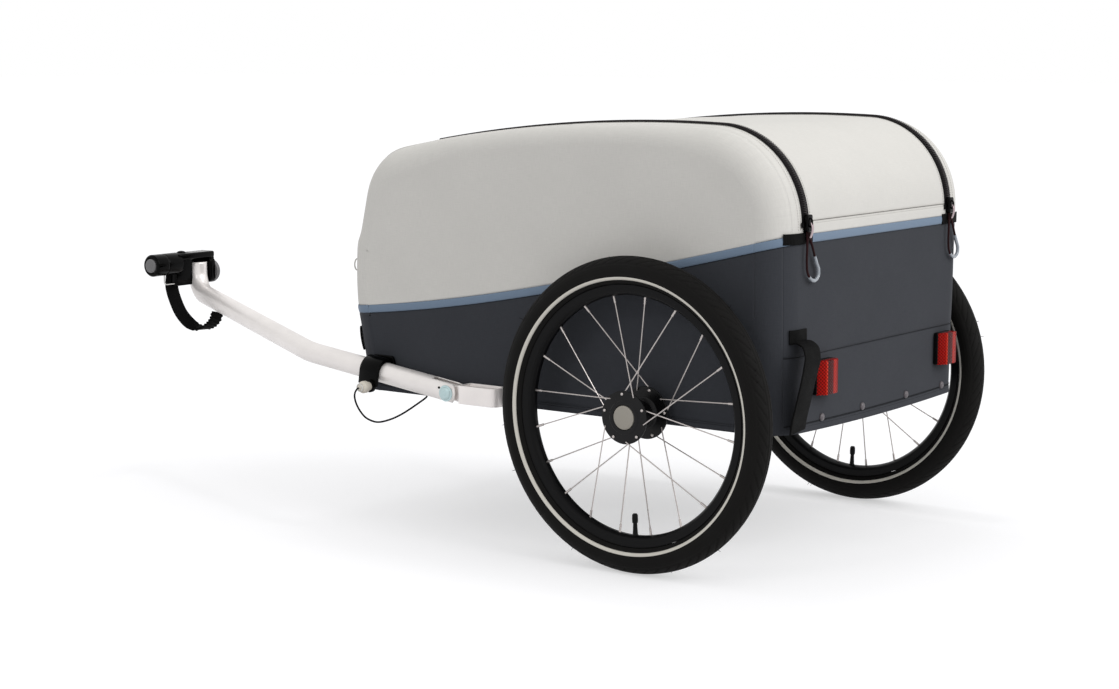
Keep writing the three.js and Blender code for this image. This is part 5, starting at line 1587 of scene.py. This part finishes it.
def add_drawbar():
    """The bent tube, with a domed plug in its front end, and a dull black disc on its side painted as the
    shade in a small hole.

    Its rear end is cut round about the bolt, and forked over the bracket's tongue: a slot is left out.
    """
    path = bar_path()
    stops = (-SLOT_TURN, SLOT_TURN, math.pi - SLOT_TURN, math.pi + SLOT_TURN, FULL_TURN - SLOT_TURN)
    turns = np.concatenate([
        np.linspace(a, b, n, endpoint=False) for a, b, n in zip(stops, stops[1:], (22, 8, 22, 8))
    ])
    section = BAR_RADIUS * np.stack([np.sin(turns), np.cos(turns)], axis=1)
    points = sweep(path, section, UPWARD)
    ahead = (path[1] - path[0]) / np.linalg.norm(path[1] - path[0])
    reach = np.sqrt((BAR_RADIUS + 0.05) ** 2 - section[:, 0] ** 2)
    for row in range(CUT_ROWS):
        points[row] -= ahead * (reach * (1 - row / CUT_ROWS))[:, None]
    in_fork = run_length(path)[:-1, None] < FORK_REACH
    narrow = np.abs(np.cos(turns + 1e-3)) * BAR_RADIUS < FORK_HALF
    tube = grid(points, ring=True, keep=~(in_fork & narrow))
    piece("drawbar_round_tube", [tube], "tube", "drawbar", "drawbar_tube", "aluminium", thickness=2.0)
    crown = dome(PLUG_SPHERE, PLUG_SPHERE, PIVOT_DROP, 0.01, 10, math.asin(PLUG_RADIUS / PLUG_SPHERE))
    plug = turned(np.vstack([crown, PLUG_STEM]), "z", (COUPLING_AHEAD, COUPLING_OFFSET, BAR_TOP), 48)
    piece("drawbar_end_plug", [plug], "black", "drawbar", slot="coupling_black")
    # Painted shade: a dull black disc stands for the dark inside of the small hole.
    hole = pin(2.2, -0.4, 0.6, PIN_HOLE, 20)
    piece("drawbar_pin_hole_shade", [hole], "dull_black", "drawbar", slot="coupling_black")


TONGUE_RADIUS = 12
TONGUE_HALF = 6.8
BOSS_RADIUS = 6
BOSS_START = 280.4
BOSS_SPREAD = 23
NUT_RADIUS = 7.4
NUT_END = 302.7


def add_bracket():
    """A flat bar bent into a loop behind the hinge, a tongue into the fork, two bosses and the hinge bolt."""
    swing = BAR_RADIUS / math.cos(FOLD_PAST_UPRIGHT) + BRACKET_HALF * math.tan(FOLD_PAST_UPRIGHT) + FOLD_GAP
    front, rear = HINGE[0] - swing, mm_box("drawbar_bracket")[0][0]
    near, far = BAR_OFFSET - BAR_RADIUS, BAR_OFFSET + BAR_RADIUS
    inset = 2.5
    corners = [(front - inset, (near + far) / 2), (front - inset, far - inset), (rear + inset, far - inset),
               (rear + inset, near + inset), (front - inset, near + inset), (front - inset, (near + far) / 2)]
    line = bent_path([(x, y, HINGE[2]) for x, y in corners], [2.6, 13, 13, 2.6], 1.6)[:-1]
    band = joined_round(line, rounded_loop(BRACKET_HALF, inset, 0.9, 3), UPWARD)
    turns = np.linspace(-QUARTER_TURN, QUARTER_TURN, 20)
    tongue = slab(np.vstack([
        np.c_[HINGE[2] + TONGUE_RADIUS * np.sin(turns), HINGE[0] + TONGUE_RADIUS * np.cos(turns)],
        [[HINGE[2] + TONGUE_RADIUS, front - 3], [HINGE[2] - TONGUE_RADIUS, front - 3]],
    ]), "y", BAR_OFFSET - TONGUE_HALF, BAR_OFFSET + TONGUE_HALF, 0.8)
    bosses = [pin(BOSS_RADIUS, BOSS_START, near + 1, (x, 0, HINGE[2]), 28)
              for x in ((front + rear) / 2 - BOSS_SPREAD, (front + rear) / 2 + BOSS_SPREAD)]
    piece("bracket_flat_bar", [band, tongue, *bosses], "bar", "chassis", "drawbar_bracket", "aluminium")
    face = far + 0.3
    centre = (HINGE[0], 0, HINGE[2])
    head = turned(smooth_profile([
        (0.1, face + 5.6), (7.2, face + 5.4), (10.2, face + 3.6), (11, face + 1.6), (13.8, face + 1.5),
        (13.8, face), (0.1, face),
    ], 0.9), "y", centre, 56)
    lobes = np.linspace(0, FULL_TURN, 72, endpoint=False)
    star = (3.6 + 0.7 * np.cos(lobes * 6))[:, None] * np.stack([np.cos(lobes), np.sin(lobes)], axis=1)
    star = slab(star + [HINGE[2], HINGE[0]], "y", face + 4.4, face + 5.9, 0.4)
    corners = np.linspace(0, FULL_TURN, 6, endpoint=False)
    nut = slab(NUT_RADIUS * np.stack([np.sin(corners), np.cos(corners)], axis=1) + [HINGE[2], HINGE[0]], "y",
               mm_box("hinge_bolt")[0][1], NUT_END, 0.5)
    piece("hinge_bolt_zinc", [head, pin(4, 303.0, face + 0.5, centre, 24), star, nut], "zinc", "chassis",
          "hinge_bolt", "steel")


SADDLE = (538, 578)
SADDLE_BEVEL = (1.2, 0.35, 0)
SADDLE_WRAP = math.radians(158)
SADDLE_FOOT = 46
PIN = (556, 0, 244)
PIN_RING = 6.5


def add_saddle():
    """A band round the tube, a boss for the lock pin, a flange on the box's side and two screws.

    The band's section, about the tube's axis, is an arc over the top that runs straight down outboard.
    """
    low = mm_box("bar_saddle")[0]
    near, foot = low[1], low[2] + SADDLE_FOOT
    bevel = np.array(SADDLE_BEVEL)
    x = np.concatenate([SADDLE[0] + bevel[::-1], SADDLE[1] - bevel])
    turns = np.linspace(SADDLE_WRAP, 0, 30)
    rows = []
    for cut in (*bevel, *bevel[::-1]):
        outer, inner = 24.9 - cut, 18.7 + cut * 0.5
        rows.append(np.vstack([
            np.c_[inner * np.cos(turns), inner * np.sin(turns)], [(inner, -12), (inner, -22 + cut)],
            [(outer, -22 + cut), (outer, -12)], np.c_[outer * np.cos(turns), outer * np.sin(turns)][::-1],
        ]))
    path = np.c_[x, np.full(6, BAR_OFFSET), HINGE[2] + BAR_RISE * (x - HINGE[0])]
    boss = smooth_profile([
        (3.4, 339.8), (11, 339.8), (11, 345.8), (9.6, 346.4), (3.4, 346.4), (3.4, 339.8),
    ], 0.6)
    flange = [(foot - 6, 530), (foot - 6, 586), (foot + 14, 580), (foot + 14, 536)]
    rib = [(foot + 0.5, 541), (foot + 0.5, 575), (foot + 8, 571), (foot + 8, 545)]
    screw = np.vstack([dome(4.4, 3.0, near + 5), [[4.4, near + 4.5]]])
    piece("saddle_moulding", [
        closed_tube(sweep(path, np.array(rows), LEFTWARD)),
        turned(boss, "y", PIN, 40),
        slab(smooth_loop(flange, 4.0), "y", near, near + 5, 1.0),
        slab(smooth_loop(rib, 2.0), "y", near + 2, near + 22, 1.6),
        *(turned(screw, "y", (place, 0, foot + 4), 24) for place in (540, 576)),
    ], "black", "chassis", "bar_saddle", "coupling_black")


def add_lock_pin():
    """A cream knob on a steel pin, with a ring for the tether on its end."""
    low, high = mm_box("lock_pin")
    end = high[1]
    profile = smooth_profile([
        (0.1, low[1]), (3, low[1]), (3, end - 25), (7.6, end - 25), (7.6, end - 19), (10.5, end - 16.5),
        (10.5, end - 9), (8.6, end - 6), (6.8, end - 5.6), (6.8, end - 2.5), (0.1, end - 1.5),
    ], 1.2)
    piece("lock_pin_knob", [turned(profile, "y", PIN, 48)], "cream", "lock_pin", "lock_pin", "pin_cream")
    turns = np.linspace(0, FULL_TURN, 33)[:-1]
    loop = np.stack([
        PIN[0] + 1 + PIN_RING * np.cos(turns), np.full(32, end - 2.6), PIN[2] + PIN_RING * np.sin(turns),
    ], axis=1)
    piece("lock_pin_ring", [joined_round(loop, circle(0.9, 10), LEFTWARD)], "steel", "lock_pin", slot="steel")


add_drawbar()
add_bracket()
add_saddle()
add_lock_pin()


# Coupling at the drawbar's end

DRUM_RADIUS = 21
DRUM_HEIGHT = 405
DRUM_START = 180
DRUM_END = 246
PIVOT_HEIGHT = 385


CATCH_TOP = 424
CHEEK_PLAN = [(1184, 142.6), (1207, 142.6), (1208, 186), (1184, 186)]
CAP_RADIUS = 22.6
CAP_BACK = [(22.8, 89), (22.4, 92.2), (4, 92.2), (4, 164.5), (0.1, 164.5)]
BAIL_CORNERS = [(212, 384.6), (212, 366), (165.4, 366)]


def add_coupling():
    """The moulding: a drum with a cheek and its catch, a lid over the tube's top, and a far cheek.

    A button in the drum's face, the pivot pin with its grey cap and the wire bail are pieces of their own.
    """
    drum_centre = (COUPLING_AHEAD, 0, DRUM_HEIGHT)
    drum = turned(smooth_profile([
        (0.1, DRUM_START), (DRUM_RADIUS, DRUM_START), (DRUM_RADIUS, 214), (DRUM_RADIUS - 0.8, 216),
        (DRUM_RADIUS, 218), (DRUM_RADIUS, DRUM_END - 3), (DRUM_RADIUS - 2.4, DRUM_END), (15.2, DRUM_END),
        (14.8, DRUM_END - 12), (0.1, DRUM_END - 12),
    ], 1.0), "y", drum_centre, 72)
    cheek = slab(smooth_loop(CHEEK_PLAN, 5.0), "z", 361, CATCH_TOP, 3.0)
    lid = slab(rounded_loop(6.2, 17, 4.0) + [417.8, COUPLING_AHEAD], "y", 93, 186, 2.6)
    far = slab(rounded_loop(24.5, 17, 10) + [387, COUPLING_AHEAD], "y", 91, 104.7, 1.8)
    far_rise = slab(rounded_loop(7, 15, 4) + [408, COUPLING_AHEAD], "y", 92, 104.7, 1.8)
    catch_profile = np.vstack([dome(9, 4.4, CATCH_TOP, 0.04, 8), [[9, 420]]])
    catch = turned(catch_profile, "z", (COUPLING_AHEAD, 166, 0), 32)
    piece("coupling_moulding", [drum, cheek, lid, far, far_rise, catch], "black", "coupling", "coupling_body",
          "coupling_black")
    face = turned(smooth_profile([
        (0.1, 239.4), (13.4, 239.4), (13.4, 246.8), (12.2, 248.8), (0.1, 249.6),
    ], 1.0), "y", drum_centre, 56)
    piece("coupling_press_face", [face], "pin_cap", "coupling_button", "coupling_button", "button_grey")
    cap_profile = np.vstack([dome(CAP_RADIUS, -11, 87, 0.03, 14), CAP_BACK])
    cap_and_pin = turned(cap_profile, "y", (COUPLING_AHEAD, 0, PIVOT_HEIGHT - 1), 64)
    piece("coupling_pin_cap", [cap_and_pin], "pin_cap", "coupling", "coupling_pin", "button_grey")
    wire = bent_path([(COUPLING_AHEAD, y, z) for y, z in BAIL_CORNERS], [6], 1.5)
    piece("coupling_wire_bail", [rod(wire, 1.5, 14)], "steel", "wire_clip", "wire_clip", "steel")


add_coupling()


# Small front pieces on the left: a light ring and a black tab

TAB_SPAN = (335, 293)
RING_PLACE = (646, 270, 442)


def add_front_bits():
    turns = np.linspace(0, FULL_TURN, 25)[:-1]
    x, y, z = RING_PLACE
    loop = np.stack([x + 0 * turns, y + 7 * np.cos(turns), z + 10 * np.sin(turns)], axis=1)
    piece("front_ring", [joined_round(loop, circle(1.2, 8), FORWARD)], "thread", "chassis", slot="steel")
    run = np.linspace(*(run_at("z", z, front=True) for z in TAB_SPAN), 20)[:, None]
    lift = 3.4 + 2.2 * np.sin(np.linspace(0, 1, 20) * math.pi)[:, None] ** 0.5
    tab = skin_grid(run, np.linspace(1.26, 1.5, 10), -lift)
    cloth("front_tab", [tab], "webbing", "chassis", (), "webbing", 3.2)


add_front_bits()


# Finishes of the frame's own pieces that stay as they are

KEPT = {
    "side_rail_left": "frame", "side_rail_right": "frame", "cross_tube_rear": "frame",
    "cross_tube_front": "frame", "floor_panel": "board", "hub_bearing_left": "steel",
    "hub_bearing_right": "steel", "stub_axle_left": "steel", "stub_axle_right": "steel",
}
for node, finish in KEPT.items():
    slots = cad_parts[node].data.materials
    slots.clear()
    slots.append(finishes[finish])


# Studio

def add_lamp(name, place, aim, power, size):
    lamp = bpy.data.lights.new(name, "AREA")
    lamp.shape = "RECTANGLE"
    lamp.size, lamp.size_y = size
    lamp.energy = power
    holder = into_scene(name, lamp)
    holder.location = place
    holder.rotation_euler = (Vector(aim) - Vector(place)).to_track_quat("-Z", "Y").to_euler()


def seen_directly(tree):
    """1 for rays from the camera, off gloss or through glass, else 0."""
    path = tree.nodes.new("ShaderNodeLightPath")
    total = path.outputs["Is Camera Ray"]
    for name in ("Is Glossy Ray", "Is Transmission Ray"):
        top = tree.nodes.new("ShaderNodeMath")
        top.operation = "MAXIMUM"
        tree.links.new(total, top.inputs[0])
        tree.links.new(path.outputs[name], top.inputs[1])
        total = top.outputs[0]
    return total


def seen_mix(tree, plain, seen):
    """A Mix Shader with one shader for light on the object, and one for what is seen directly."""
    mix = tree.nodes.new("ShaderNodeMixShader")
    tree.links.new(seen_directly(tree), mix.inputs[0])
    tree.links.new(plain.outputs[0], mix.inputs[1])
    tree.links.new(seen.outputs[0], mix.inputs[2])
    return mix


SKY_LEVEL = 0.72
PAPER_TONE = (0.60, 0.60, 0.615, 1)
PAPER_GLOW = 0.49
FLOOR_REACH = 40
SUN_STRENGTH = 1.35
SUN_SOFTNESS = math.radians(50)
SUN_FROM = (-0.85, -0.15, 0.5)
SPOT_POWER = 7


def add_studio():
    world = bpy.data.worlds.new("studio")
    bpy.context.scene.world = world
    world.use_nodes = True
    tree = world.node_tree
    tree.nodes.clear()
    lights = []
    for strength in (SKY_LEVEL, 1.0):
        light = tree.nodes.new("ShaderNodeBackground")
        light.inputs["Color"].default_value = (1, 1, 1, 1)
        light.inputs["Strength"].default_value = strength
        lights.append(light)
    tree.links.new(seen_mix(tree, *lights).outputs[0], tree.nodes.new("ShaderNodeOutputWorld").inputs[0])

    floor_mesh = bpy.data.meshes.new("floor")
    floor_mesh.from_pydata([
        (x * FLOOR_REACH, y * FLOOR_REACH, 0) for x, y in ((-1, -1), (1, -1), (1, 1), (-1, 1))
    ], [], [(0, 1, 2, 3)])
    floor = into_scene("floor", floor_mesh)
    paper = bpy.data.materials.new("studio_floor")
    paper.use_nodes = True
    tree = paper.node_tree
    tree.nodes.clear()
    diffuse = tree.nodes.new("ShaderNodeBsdfDiffuse")
    diffuse.inputs["Color"].default_value = PAPER_TONE
    glow = tree.nodes.new("ShaderNodeEmission")
    glow.inputs["Strength"].default_value = PAPER_GLOW
    bright = tree.nodes.new("ShaderNodeAddShader")
    tree.links.new(diffuse.outputs[0], bright.inputs[0])
    tree.links.new(glow.outputs[0], bright.inputs[1])
    surface = tree.nodes.new("ShaderNodeOutputMaterial").inputs[0]
    tree.links.new(seen_mix(tree, diffuse, bright).outputs[0], surface)
    floor.data.materials.append(paper)

    sun = bpy.data.lights.new("overhead_sun", "SUN")
    sun.energy = SUN_STRENGTH
    sun.angle = SUN_SOFTNESS
    into_scene("overhead_sun", sun).rotation_euler = Vector(SUN_FROM).to_track_quat("Z", "Y").to_euler()

    middle = (AXLE_LINE[0] + 0.25, 0, 0.35)
    add_lamp("top_spot", (AXLE_LINE[0] + 0.5, -0.6, 3.3), middle, SPOT_POWER, (0.7, 0.16))
    add_lamp("left_spot", (AXLE_LINE[0] + 0.2, 3.2, 2.2), middle, SPOT_POWER, (0.5, 0.2))


add_studio()
bpy.context.scene.view_settings.view_transform = "Standard"
